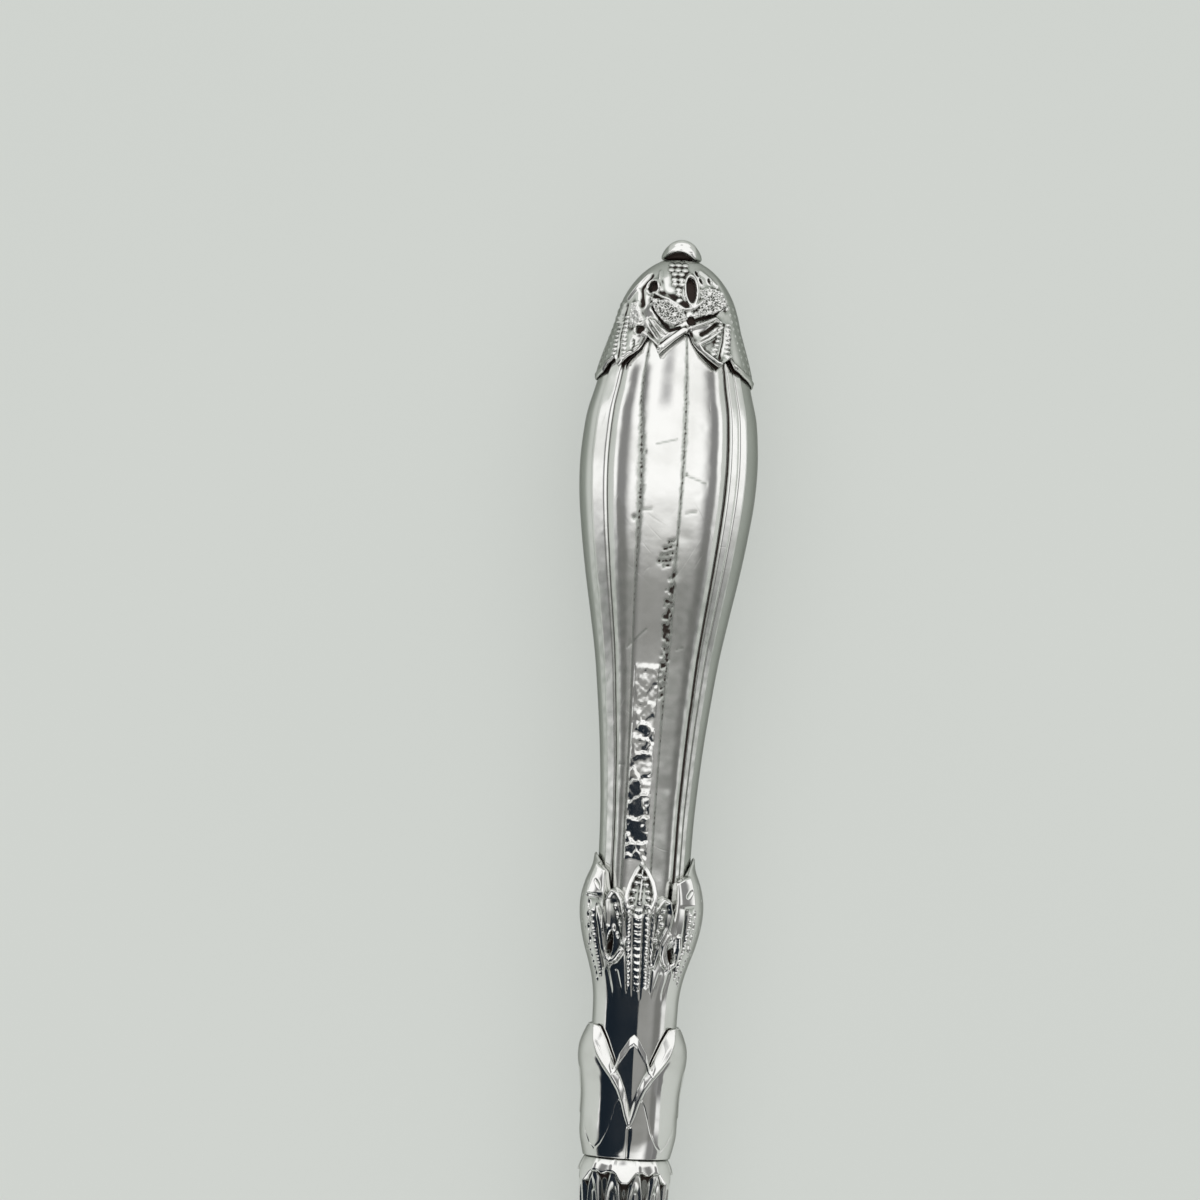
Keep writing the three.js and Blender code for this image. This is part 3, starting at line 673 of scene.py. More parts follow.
# %% Leaf cap: stippled lobes and ribbons
cap.swell([(-30, 6.2), (-11, 6.6), (3, 7.4), (8, 8.2), (-4, 8.9), (-12, 8.6), (-20, 7.8)],
          0.34, 0.08, 0.22, 0.44)
cap.trace([(-26, 7.2), (-19, 8.0), (-13, 8.7), (-7, 9.3), (1, 9.0)], 0.1, -0.42)
cap.bead_row([(-27, 6.9), (-18, 7.9), (-12, 8.6)], 0.34, 0.2, 0.16, 0.22)
for start, stop in (((-30, 8.5), (-17, 10.1)), ((-26, 8.3), (-13, 9.9)), ((-22, 8.4), (-10, 9.6))):
    cap.trace([start, stop], 0.12, 0.24)
cap.trace([(-29, 9.6), (-20, 10.25), (-12, 11.0)], 0.16, 0.34)
cap.band([(5, 9.3), (-4, 10.15), (-13, 11.2)], 0.32, 0.45)
cap.trace([(11, 9.5), (2, 10.4), (-6, 11.2)], 0.1, -0.3)
cap.swell([(22, 5.3), (34, 4.95), (45, 5.1), (51, 5.7), (52, 6.4), (45, 7.0), (34, 7.4), (12, 7.9),
           (22, 6.6)], 0.26, 0.1, 0.22, 0.46)
for turn, station in ((22, 3.75), (25, 4.45), (37, 4.35)):
    cap.punch(turn, station, 0.15, 0.3, -30, 0.3, 0.12)
cap.beads([(47, 4.75), (52, 5.3), (54, 6.0), (53, 6.7)], 0.22, 0.24, 0.2)
cap.trace([(46, 6.7), (34, 7.55), (20, 8.0), (12, 8.3)], 0.09, -0.4)
cap.bead_row([(48, 6.4), (33, 7.35), (19, 7.8)], 0.2, 0.17, 0.18, 0.2)
cap.punch(11, 8.3, 0.36, 0.4, 0, 0.7, 0.0)
cap.trace([(9, 9.0), (16, 8.7), (27, 8.2), (34, 7.8), (38, 8.1)], 0.19, 0.42)
cap.trace([(36, 8.3), (31, 8.7), (25, 9.15), (20, 9.45)], 0.12, -0.55)
cap.trace([(39, 8.5), (35, 9.1), (26, 9.8), (17, 10.4), (20, 11.0), (32, 12.0)], 0.18, 0.34)
cap.trace([(32, 12.0), (45, 11.1)], 0.18, 0.3)
print("front of the cap chased")

# %% Leaf cap: side leaves
for veins in ([(46, 8.2), (41, 9.8), (34, 11.5)], [(-58, 8.0), (-55, 9.7), (-48, 12.0)]):
    for spread in (-5.5, 5.5):
        beside = [(turn + spread, station) for turn, station in veins]
        cap.bead_row(beside, 0.42, 0.3, 0.19, 0.26)
    cap.trace(veins, 0.09, -0.2)
cap.punch(-34, 9.25, 0.48, 0.36, 0, 0.8, 0.12)
cap.swell([(-52, 6.6), (-44, 6.6), (-33, 8.3), (-37, 8.9), (-45, 9.0), (-48, 8.0)], 0.28, 0.1, 0.1)
cap.trace([(-60, 6.9), (-59, 8.1)], 0.14, -0.5)
cap.trace([(-63, 6.7), (-64, 7.6), (-62, 8.5)], 0.14, 0.26)
cap.trace([(-47, 4.0), (-55, 5.1), (-62, 6.2)], 0.25, 0.24)
cap.trace([(-42, 4.1), (-47, 5.4), (-38, 6.9)], 0.22, -0.36)
cap.trace([(-30, 3.7), (-25, 4.6), (-20, 5.6)], 0.13, 0.28)
cap.trace([(30, 3.4), (38, 3.9), (46, 4.6)], 0.18, 0.2)
cap.trace([(-38, 10.3), (-36, 11.2)], 0.1, -0.45)
cap.trace([(-51, 11.6), (-46, 12.3), (-39, 11.5), (-31, 10.8)], 0.15, 0.26)
for turn in (62, 72, -68, -78):
    cap.bead_row([(turn - 4, 6.5), (turn, 10.0), (turn + 3, 12.3)], 0.62, 0.2, 0.2, 0.09)
cap.trace([(49, 11.9), (61, 12.45), (76, 12.85), (90, 13.05)], 0.15, 0.16)
cap.trace([(-58, 11.9), (-67, 12.6), (-78, 12.9), (-90, 13.05)], 0.15, 0.16)
print("side leaves chased")

# %% Leaf cap: wall
CAP_WALL = 0.34
CAP_HOLE = 0.95  # radius of the hole that takes the bead's spigot
calm = 1 - ease(np.abs(folded), 80.0, 90.0)
flare = (0.8 * cap_standoff(folded) - 0.22) * ease(face_station, edge - 0.9, edge)
relief = cap.height * calm * ease(face_station, 2.4, 2.8) - 0.08
face_radius = cap_outline(face_station) + relief + flare
inside_radius = np.where(
    rise < CAP_LID,
    cap_outline(inside_station) - CAP_WALL + flare,
    np.interp(rise, [CAP_LID, 1.0], [cap_outline(CROWN_UNDER) - CAP_WALL, CAP_HOLE]),
)
station = through_wall(face_station, inside_station, depth)
station += np.where(rise < 0.001, 0.5 * CAP_WALL * np.sin(np.pi * depth), 0.0)
radius = through_wall(face_radius, inside_radius, depth)
lid = (rise > 0.999) & (np.abs(depth - 0.5) < 0.1)
station = np.where(lid, CROWN, station)
radius = np.where(lid, CAP_HOLE, radius)
cavity = settled_soil(relief, angle, rise, CAP_ROWS, CAP_COLUMNS, 0.14)
cavity = cavity * (1.1 + 0.4 * grain(cap.x, cap.s, 0.35))
# Painted shade greys the cap's sides and the sides of its crown, standing in for the dimmer reflections
# there.
side_film = 0.42 * ease(np.abs(folded), 50.0, 62.0)
crown_film = 0.3 * (1 - ease(face_station, 3.4, 5.6)) * ease(np.abs(folded + 3.0), 12.0, 18.0)
soil = np.max([cavity, side_film, crown_film, ease(-relief, 0.3, 0.65)], 0)
place_wall(bm, angle, station, radius)
make_piece(bm, "cap", "leaf_cap", CAST, wall_soil(depth, soil))

# %% [markdown]
# ## The leaf collar
# The collar takes the foot of the grip in a ring of upright leaves: a pointed leaf in front with beads
# beside its rib, a lobe on each side, then a slit that ends in a curled eyelet, and broad leaves at the
# sides. Ladders and rows of beads run down from them to the smooth neck. The pattern is chased once
# for the front and folded round to the back.

# %% Leaf collar: outline
COLLAR_COLUMNS = 500
COLLAR_ROWS = 150
COLLAR_SEAT = 62.65
COLLAR_FOOT = 76.05
CAST_BORE = 2.456
COLLAR_SOCKET = 4.2
collar_outline = smooth_curve([
    (55.4, 4.5), (56.4, 4.62), (57.9, 5.17), (59.3, 5.5), (60.4, 5.55), (62.2, 5.32),
    (63.6, 4.97), (65.1, 4.48), (66.5, 4.1), (68.0, 3.87), (69.4, 3.82), (72.0, 3.8), (76.05, 3.75),
])
collar_edge = straight_curve([
    (-90, 55.6), (-75, 55.8), (-63, 56.3), (-55, 56.7), (-46, 57.1), (-40, 59.0), (-37.5, 61.4),
    (-35.5, 60.3), (-33.5, 59.0), (-29, 58.5), (-23, 58.9), (-17, 59.7), (-16, 58.9), (-14, 57.9),
    (-10, 56.9), (-3, 56.0), (5, 56.9), (10, 57.8), (12, 58.7), (13, 59.5), (20, 59.1), (26, 59.3),
    (29, 60.2), (33, 61.3), (35, 59.9), (36.5, 57.9), (45, 57.5), (56, 57.2), (69, 56.4), (80, 55.9),
    (90, 55.6),
])
bm, angle, rise, depth = rolled_wall(COLLAR_COLUMNS, COLLAR_ROWS, 12)
folded = fold_half(angle)
edge = collar_edge(folded)
face_station = edge + (COLLAR_FOOT - edge) * rise**1.35
print("collar rises to station", edge.min())

# %% Leaf collar: front leaf and ladder
collar = Chasing(folded, face_station, collar_outline)
collar.swell([(-3, 56.3), (-11, 57.9), (-13, 59.2), (-11, 60.4), (-3, 61.0), (6, 60.2), (9, 59.0),
              (6, 57.8)], -0.1, 0.12)
collar.band([(-3, 56.2), (-9, 57.0), (-13, 57.9), (-15, 58.9), (-15, 59.8), (-11, 60.7)], 0.2, 0.3)
collar.band([(-3, 56.2), (4, 57.0), (9, 57.9), (11, 58.7), (11, 59.5), (7, 60.4)], 0.2, 0.3)
collar.trace([(-2, 56.4), (-2, 57.7), (-3, 59.6)], 0.13, 0.34)
collar.beads([(-5, 57.3), (-7, 57.95), (-9, 58.65), (-10, 59.35), (-9.5, 60.05)], 0.27, 0.25, 0.36)
collar.beads([(1, 57.5), (3, 58.1), (4.5, 58.7), (5.5, 59.3), (4.5, 59.9)], 0.26, 0.24, 0.34)
for station in np.arange(60.4, 67.6, 0.62):
    turn = np.interp(station, [60.2, 63.9, 66.4], [-3.5, -2.5, -1.0])
    collar.trace([(turn - 3.6, station), (turn, station + 0.06), (turn + 3.6, station)], 0.07, 0.12)
collar.bead_row([(-11.5, 60.6), (-12, 63.3), (-12.5, 67.3)], 0.62, 0.13, 0.17, 0.17)
collar.bead_row([(5.5, 60.6), (6.5, 63.2), (10, 67.3)], 0.52, 0.2, 0.2, 0.24)
collar.bead_row([(11, 60.5), (11.5, 63.0), (14, 67.2)], 0.52, 0.15, 0.2, 0.2)
for line in ([(-8, 60.4), (-7.5, 63.5), (-6, 68.0)], [(1.2, 60.4), (2, 63.5), (4, 68.0)],
             [(-16, 60.2), (-15.5, 63.0), (-14, 67.5)], [(14, 60.5), (14.5, 63.0), (17, 67.5)]):
    collar.trace(line, 0.08, -0.1)
print("front leaf and ladder chased")

# %% Leaf collar: lobes
collar.trace([(-33, 61.7), (-34, 59.4), (-30, 58.75), (-25, 58.95), (-20, 59.6), (-17.5, 60.8),
              (-16.5, 63.0)], 0.17, 0.32)
collar.trace([(-28, 59.9), (-25, 61.3), (-20, 63.3)], 0.34, -0.14)
collar.beads([(-26, 60.1), (-23.5, 60.9), (-21, 61.6), (-27, 62.0), (-23.5, 62.6), (-19.5, 63.2)],
             0.15, 0.24, 0.24)
collar.trace([(13.5, 60.2), (20, 59.35), (25.5, 59.55), (27.5, 60.5), (26, 61.8), (20, 63.2),
              (16, 65.2)], 0.16, 0.3)
collar.trace([(21, 60.1), (20, 61.5), (17, 63.2)], 0.34, -0.12)
collar.beads([(20.5, 60.3), (18.5, 60.9), (20, 61.5), (17, 62.2), (15.5, 62.9)], 0.22, 0.24, 0.3)
print("lobes chased")

# %% Leaf collar: eyelets and side leaves
collar.punch(-32.5, 63.4, 0.3, 1.15, 4, 0.9, 0.0)
left_curl = [(-45, 60.3), (-41, 61.5), (-40, 62.7), (-40, 63.7), (-39, 64.5), (-34.5, 65.0),
             (-27, 64.7), (-20, 64.0)]
collar.clear(left_curl, 0.3)
collar.band(left_curl, 0.2, 0.36)
collar.punch(34.5, 63.8, 0.38, 1.05, -8, 0.9, 0.0)
right_curl = [(40, 62.6), (43, 63.5), (44, 64.4), (42, 65.0), (35, 65.3), (28, 64.8), (24.5, 64.2),
              (24, 63.4), (28, 62.4)]
collar.clear(right_curl, 0.3)
collar.band(right_curl, 0.2, 0.36)
for low, high, top, foot in ((-61, -39, 56.7, 59.6), (36, 56, 57.2, 60.0)):
    sign = math.copysign(1.0, low)
    within = ease(folded, low, low + 3) * (1 - ease(folded, high - 3, high))
    within = within * (1 - ease(face_station, foot - 0.35, foot))
    collar.height += 0.022 * (np.abs(folded) - 36.0) * within
    collar.trace([(sign * 50, top + 1.3), (sign * 46, top + 1.7)], 0.12, -0.2)
collar.trace([(-57, 59.2), (-39, 59.3)], 0.1, -0.25)
for sign, shift in ((-1, 0.0), (1, 0.5)):
    for turn, station in ((58, 60.0), (58.5, 61.0), (59, 62.0), (59, 63.0)):
        collar.punch(sign * turn, station + shift, 0.17, 0.36, 0, 0.4, 0.08)
    collar.bead_row([(sign * 52, 60.6), (sign * 53, 66.5)], 0.55, 0.2, 0.2, 0.22)
    collar.bead_row([(sign * 65, 63.6), (sign * 61, 67.0)], 0.5, 0.16, 0.18, 0.14)
    for turn, station in ((70, 58.1), (76, 59.2), (69, 60.3), (75, 61.6), (68, 62.2), (74, 64.0)):
        collar.bead(sign * turn, station, 0.13, 0.15, -0.1)
    collar.trace([(sign * 46, 60.2), (sign * 48, 62.5), (sign * 47, 65.5)], 0.13, -0.3)
    collar.trace([(sign * 27, 65.8), (sign * 22, 67.5), (sign * 20, 69.0)], 0.18, -0.1)
    collar.trace([(sign * 40, 65.8), (sign * 36, 67.5), (sign * 35, 69.0)], 0.18, -0.08)
print("eyelets and side leaves chased")

# %% Leaf collar: wall
TIP_WALL = 0.34
SOCKET_END = 0.4  # the rise at which a socket meets its seat
BORE_START = 0.5  # and at which the seat meets the bore


def stepped_bore(rise, edge, seat, foot, socket):
    """Stations and radii inside a mount: a socket down to its seat, then the narrower bore."""
    station = np.where(
        rise < SOCKET_END,
        edge + (seat - edge) * rise / SOCKET_END,
        np.interp(rise, [SOCKET_END, BORE_START, 1.0], [seat, seat, foot]),
    )
    return station, np.interp(rise, [SOCKET_END, BORE_START], [socket, CAST_BORE])


calm = 1 - ease(np.abs(folded), 84.0, 90.0)
relief = collar.height * calm * (1 - ease(face_station, 67.0, 68.4)) - 0.06
inside_station, inside_radius = stepped_bore(rise, edge, COLLAR_SEAT, COLLAR_FOOT, COLLAR_SOCKET)
station = through_wall(face_station, inside_station, depth)
station -= np.where(rise < 0.001, 0.5 * TIP_WALL * np.sin(np.pi * depth), 0.0)
radius = through_wall(collar_outline(face_station) + relief, inside_radius, depth)
cavity = settled_soil(relief, angle, rise, COLLAR_ROWS, COLLAR_COLUMNS, 0.22)
# Painted shade greys the collar's sides, as on the cap.
side_film = 0.24 * ease(np.abs(folded), 58.0, 72.0)
soil = np.max([cavity, side_film, ease(-relief, 0.3, 0.7)], 0)
soil = wall_soil(depth, soil, ease(rise, 0.05, 0.3))
place_wall(bm, angle, station, radius)
make_piece(bm, "collar", "leaf_collar", CAST, soil)

# %% [markdown]
# ## The grip
# The grip is two thin stampings soldered at the sides. Broad lobes and narrow reeds run down it, and
# years of use have left pits and scratches, most of all a crushed strip low on the front. Each half is
# a half-turn of the rolled wall. Between two lines the surface sinks towards both, which gives the
# lobes. A reed has a flat face instead, which leans to where the tent is bright. The dents are soft
# hollows pushed in by vertex moves. The strip is broken into small facets, which flash white or dark as
# each one faces the tent or the black card.

# %% Grip: lobes and reeds
GRIP_TURN = -4.5
GRIP_TOP = 4.45
GRIP_FOOT = 62.55
GRIP_WALL = 0.5
GRIP_COLUMNS = 260
GRIP_ROWS = 330
REED = 8.0  # a lobe of a smaller half angle is a reed, with a flat leaning face
REED_FACE = 42.0  # the angle that a reed's face leans to, where it shows the bright foot of the tent
REED_LEAN = 13.0  # and by how much it leans at most
BELLY_R = 8.0  # the radius for which the heights of lobes and reeds are given
LEFT_LINE = -41.0  # the front's line at the edge of its left lobe
GROOVE_LINE = -12.0  # its left groove, before it is bent
RIGHT_LINE = 13.0  # its right groove
grip_outline = smooth_curve([
    (4.45, 3.75), (9.0, 5.3), (11.0, 6.1), (12.65, 6.68), (14.0, 7.02), (16.2, 7.58), (18.3, 7.83),
    (20.5, 7.95), (23.4, 7.85), (27.0, 7.42), (30.6, 6.85), (34.2, 6.18), (37.8, 5.55),
    (41.3, 5.1), (44.9, 4.7), (48.5, 4.4), (52.1, 4.18), (55.0, 4.1), (62.55, 4.05),
])
front_lines = [(-118, 0.2), (-56, 0.3), (LEFT_LINE, 0.32), (GROOVE_LINE, 0.12), (RIGHT_LINE, 0.12),
               (46, 0.32), (55, 0.3), (64, 0.18), (118, 0.2)]
back_lines = [(-118, 0.2), (-62, 0.18), (-54, 0.3), (-44, 0.32), (-13, 0.12), (13, 0.12),
              (44, 0.32), (54, 0.3), (62, 0.18), (118, 0.2)]
groove_bend = smooth_curve([
    (9, -20), (15, -19), (18.5, -15.7), (22.5, -14), (28, -15.3), (35, -19), (43, -22), (53, -25.5),
    (62, -26),
])


def settle_groove(across, station):
    """Angles with the bends of the front's left groove taken out."""
    bent = groove_bend(station)
    left = LEFT_LINE + (across - LEFT_LINE) * (GROOVE_LINE - LEFT_LINE) / (bent - LEFT_LINE)
    right = GROOVE_LINE + (across - bent) * (RIGHT_LINE - GROOVE_LINE) / (RIGHT_LINE - bent)
    beyond = (across < LEFT_LINE) | (across > RIGHT_LINE)
    return np.where(beyond, across, np.where(across < bent, left, right))


def grip_relief(lines, across, station):
    """Height of the stamped lobes; across is the angle from the middle of the half."""
    turns, depths = np.array(lines).T
    lobe = np.clip(np.searchsorted(turns, across) - 1, 0, len(turns) - 2)
    middle = (turns[lobe] + turns[lobe + 1]) / 2
    half = (turns[lobe + 1] - turns[lobe]) / 2
    offset = (across - middle) / half
    nearest = np.where(offset < 0, lobe, lobe + 1)
    slope = np.abs(offset) ** np.where(half < REED, 8.0, 2.8)
    turn = np.radians(np.clip(np.abs(middle + GRIP_TURN) - REED_FACE, 0.0, REED_LEAN))
    lean = np.tan(turn) * np.radians(half) * offset * np.sign(middle)
    bow = (1 - np.cos(np.radians(half))) * (1 - offset**2)
    flat = np.where(half < REED, BELLY_R * (lean - bow), 0.0)
    full = ease(station, 9.0, 14.0) * grip_outline(station) / BELLY_R
    return (flat - depths[nearest] * slope) * full


print("lines on the grip:", len(front_lines) - 2, "in front and", len(back_lines) - 2, "behind")

# %% Grip: dents and scratches
dent_random = np.random.RandomState(7)


def push_dents(skin, dents):
    """Soft round hollows, given as angle, station, radius and depth."""
    for turn, station, size, sink in dents:
        x0, s0 = skin.spot(turn, station)
        near = ((skin.x - x0) ** 2 + (skin.s - s0) ** 2) / size**2
        skin.height -= sink * np.exp(-near)


def scattered_dents(count, turns, stations, sizes, sinks):
    low = (turns[0], stations[0], sizes[0], sinks[0])
    high = (turns[1], stations[1], sizes[1], sinks[1])
    return dent_random.uniform(low, high, (count, 4))


front_nicks = [(-12, 20.3, 0.16, 0.05), (15.5, 22.1, 0.12, 0.06), (-18, 26.1, 0.2, 0.06)]
front_pits = [*front_nicks, *scattered_dents(70, (7, 13.5), (30.5, 42.0), (0.1, 0.24), (0.02, 0.06))]
front_wear = scattered_dents(240, (-60, 60), (15.0, 60.0), (0.25, 1.0), (-0.011, 0.017))
back_pits = scattered_dents(12, (-50, 50), (20.0, 52.0), (0.08, 0.15), (0.02, 0.05))
back_wear = scattered_dents(160, (-80, 80), (14.0, 60.0), (0.25, 1.0), (-0.006, 0.01))
front_cuts = [
    [(-5, 19.6), (8, 19.1)], [(15, 22.2), (29, 22.8)], [(-25, 37.3), (-7, 35.7)],
    [(-14, 25.4), (-6, 25.3)], [(17, 25.5), (24, 25.3)], [(21, 37.3), (27, 37.1)],
    [(-36, 47.6), (-28, 47.6)],
]
front_rubs = [
    ([(7, 28.1), (11, 27.9)], 0.16), ([(4, 28.7), (10.5, 28.4)], 0.16),
    ([(2.5, 29.3), (10, 29.0)], 0.2), ([(1, 29.8), (9.5, 29.6)], 0.22), ([(4, 30.2), (9, 30.1)], 0.12),
]
back_cuts = [[(-20, 26.0), (-6, 24.6)], [(12, 33.0), (21, 34.1)]]
print(len(front_pits), "pits and", len(front_cuts), "cuts on the front")

# %% Grip: the crushed strip
FACETS = 95
dark_share = straight_curve([(43.0, 0.0), (44.5, 0.35), (49.0, 0.6), (52.0, 0.9)])


def crush(skin, settled, station):
    """Small flat facets, each leaning its own way: mostly up the handle at the top, down it below."""
    pick = np.random.RandomState(5)
    middle_x = pick.uniform(-2.3, 1.0, FACETS)
    middle_s = 38.4 + 17.8 * pick.uniform(0.0, 1.0, FACETS) ** 1.6
    dark = pick.uniform(0.0, 1.0, FACETS) < dark_share(middle_s)
    along = np.where(dark, pick.uniform(-0.42, -0.26, FACETS), pick.uniform(0.0, 0.1, FACETS))
    across = pick.uniform(-0.14, 0.14, FACETS)
    height = np.zeros(len(station))
    weight = np.full(len(station), 1e-9)
    x = skin.x + 0.16 * grain(skin.x, skin.s, 0.45)
    s = skin.s + 0.22 * grain(skin.s, skin.x, 0.5)
    for x0, s0, lean, turn in zip(middle_x, middle_s, along, across):
        near = np.exp(-((x - x0) ** 2 + (s - s0) ** 2) / 0.06)
        height += near * (lean * (s - s0) + turn * (x - x0))
        weight += near
    height = height / weight + 0.016 * grain(skin.x, skin.s, 0.3) + 0.04
    within = ease(settled, -10.0, -9.0) * (1 - ease(settled, 7.5, 8.5))
    skin.height += height * within * ease(station, 38.7, 39.1) * (1 - ease(station, 55.6, 56.0))


print("strip is crushed into", FACETS, "facets")

# %% Grip: the two halves
GRIP_ARC = 179.4
grip_station = straight_curve([
    (0.0, GRIP_FOOT), (0.02, 57.5), (0.47, 38.0), (0.97, 9.0), (1.0, GRIP_TOP),
])
wide_groove = smooth_curve([
    (9, 0.2), (14, 0.28), (17, 0.36), (20, 0.5), (24, 0.5), (27, 0.36), (31, 0.22), (56, 0.16),
])
pitted_groove = smooth_curve([
    (9, 0.1), (14, 0.24), (18, 0.3), (24, 0.24), (29, 0.2), (32, 0.36), (38, 0.4), (42, 0.22),
    (56, 0.14),
])
narrow_groove = smooth_curve([(9, 0.1), (14, 0.16), (18, 0.2), (21, 0.12), (28, 0.1), (56, 0.1)])
front_grooves = [(GROOVE_LINE, wide_groove), (RIGHT_LINE, pitted_groove)]
back_grooves = [(-13, narrow_groove), (13, narrow_groove)]


def grip_half(name, node, facing, lines, grooves, wear, pits, cuts, rubs):
    bm, across, rise, depth = rolled_wall(GRIP_COLUMNS, GRIP_ROWS, 24, GRIP_ARC)
    station = grip_station(rise)
    front = facing == 0.0
    settled = settle_groove(across, station) if front else across
    skin = Chasing(across, station, grip_outline)
    grime = Chasing(across, station, grip_outline)
    push_dents(skin, [*wear, *pits])
    push_dents(grime, [(turn, at, size, -0.75) for turn, at, size, _ in pits])
    for cut in cuts:
        skin.trace(cut, 0.12, -0.02)
        grime.trace(cut, 0.12, 0.45)
    if front:
        crush(skin, settled, station)
    for stroke, width in rubs:
        skin.trace(stroke, width, -0.03)
    relief = grip_relief(lines, settled, station) + skin.height * ease(station, 5.0, 8.0)
    radius = grip_outline(station) + relief - GRIP_WALL * depth
    angle = across + GRIP_TURN + facing
    patches = grain(skin.x, skin.s, 0.7)
    specks = grain(skin.x, skin.s, 0.2)
    dull = ease(station, 22.5, 34.0) * ease(np.abs(settled), 13.0, 15.0)
    shade = cap_standoff(fold_half(angle))
    below_cap = station - cap_edge(fold_half(angle))
    films = [
        # Painted shade greys the sides of each half, standing in for the dimmer reflections there.
        0.4 * ease(np.abs(across), 60.0, 68.0),
        np.clip(grime.height, 0.0, 0.9),
        (0.25 + 0.14 * patches) * dull,
        # Painted shadow on the grip just under the cap's hem, as wide as the hem stands off.
        1 - ease(below_cap, 0.5 * shade, shade + 0.05),
        # Painted shade where the grip runs into the collar.
        ease(station, 60.5, 62.0),
    ]
    for stroke, width in rubs:
        films.append((0.85 + 0.8 * specks) * skin.line(stroke, width))
    for turn, half_width in grooves:
        beside = np.radians(np.abs(settled - turn)) * grip_outline(station)
        ragged = half_width(station) * (0.75 + 0.3 * patches)
        films.append((0.72 + 0.4 * specks) * np.exp(-((beside / ragged) ** 2)))
        films.append(0.7 * (1 - ease(beside, 0.02, 0.09)))
    for turn, sink in lines[1:-1]:
        if sink > 0.2:
            beside = np.radians(np.abs(settled - turn)) * grip_outline(station)
            films.append(0.95 * (1 - ease(beside, 0.05, 0.15)))
    soil = np.where(depth > 0.3, 1.0, np.max(films, 0))
    place_wall(bm, angle, station, radius)
    make_piece(bm, name, node, SHEET, soil)


grip_half("grip_front", "grip_front_shell", 0.0, front_lines, front_grooves, front_wear, front_pits,
          front_cuts, front_rubs)
grip_half("grip_back", "grip_back_shell", 180.0, back_lines, back_grooves, back_wear, back_pits,
          back_cuts, [])

# %% [markdown]
# ## The petal calyx
# Four petals with thick rolled rims stand round the collar's stem like a tulip. In front and behind,
# the tip of a pointed sepal shows between two of them. One quarter turn is described and folded round
# to the others. The rim is a slope that climbs from the sunk sepal to a crest, so that it catches the
# light from above.

# %% Petal calyx: outline
CALYX_COLUMNS = 480
CALYX_ROWS = 140
CALYX_SEAT = 76.15
CALYX_FOOT = 82.05
SPIGOT_FOOT = 84.85
SPIGOT_R = 3.156
CALYX_SOCKET = 3.9
SEPAL_R = 4.2
RIM_RISE = 0.22
petal_outline = smooth_curve([
    (70.3, 4.05), (70.8, 4.2), (71.5, 4.5), (72.3, 4.75), (73.4, 4.82), (75.1, 4.54), (76.6, 4.33),
    (78.5, 4.3), (80.2, 4.26), (81.3, 4.05), (82.05, 3.86),
])
calyx_edge = straight_curve([
    (0, 71.2), (5, 71.5), (9, 72.0), (13.5, 72.5), (17, 72.9), (20, 73.6), (22.5, 74.1), (26, 73.4),
    (32, 72.6), (38, 71.8), (44, 71.2), (50, 70.7), (60, 70.5), (80, 70.7), (90, 71.0),
])
rim_inner = [(0, 78.0), (1, 77.8), (4, 76.9), (8, 75.95), (15, 74.85), (22.5, 74.1), (26, 73.4),
             (32, 72.6), (38, 71.8), (44, 71.2), (50, 70.7), (57, 70.5)]
rim_outer = [(0, 79.1), (4, 78.3), (8, 77.2), (14, 76.0), (22, 74.95), (31, 73.95), (40, 72.9),
             (47, 71.9), (52, 71.2), (57, 70.6)]
bm, angle, rise, depth = rolled_wall(CALYX_COLUMNS, CALYX_ROWS, 12)
folded = np.abs(fold_half(angle))
edge = calyx_edge(folded)
body_rise = np.clip(rise / 0.9, 0.0, 1.0)
face_station = edge + (CALYX_FOOT - edge) * body_rise
print("calyx rises to station", edge.min())

# %% Petal calyx: rims, sepal and creases
petals = Chasing(folded, face_station, petal_outline)
petals.trace(rim_outer, 0.17, RIM_RISE)
petals.trace([(12, 76.8), (17, 77.4), (27, 79.7), (37, 80.8), (46, 81.3), (55, 80.8), (66, 79.4)],
             0.05, -0.05)
petals.trace([(0, 79.4), (0, 82.0)], 0.13, -0.16)
petals.trace([(46, 75.0), (46, 80.0)], 1.1, -0.12)
petals.trace([(80, 74.5), (86, 76.4), (90, 78.4)], 0.12, 0.08)
petals.trace([(90, 78.6), (90, 82.0)], 0.12, -0.1)
inner = straight_curve(rim_inner)(folded)
outer = straight_curve(rim_outer)(folded)
climb = np.clip((face_station - inner) / (outer - inner), 0.0, 1.0)
sepal = Chasing(folded, face_station, petal_outline)
below_edge = face_station - edge
sepal.height += 0.2 * np.clip(below_edge, 0.0, 0.8) * (1 - ease(below_edge, 0.8, 0.95)) - 0.1
sepal.trace([(-2, 71.5), (0, 76.5)], 0.5, 0.06)
petal_radius = petal_outline(face_station) + np.where(climb < 1.0, RIM_RISE, petals.height)
sepal_radius = SEPAL_R + sepal.height
step = petal_radius - sepal_radius
face_radius = sepal_radius + step * np.maximum(climb, ease(folded, 50.0, 56.0))
print(f"petals stand up to {step.max():.2f} mm in front of the sepals")

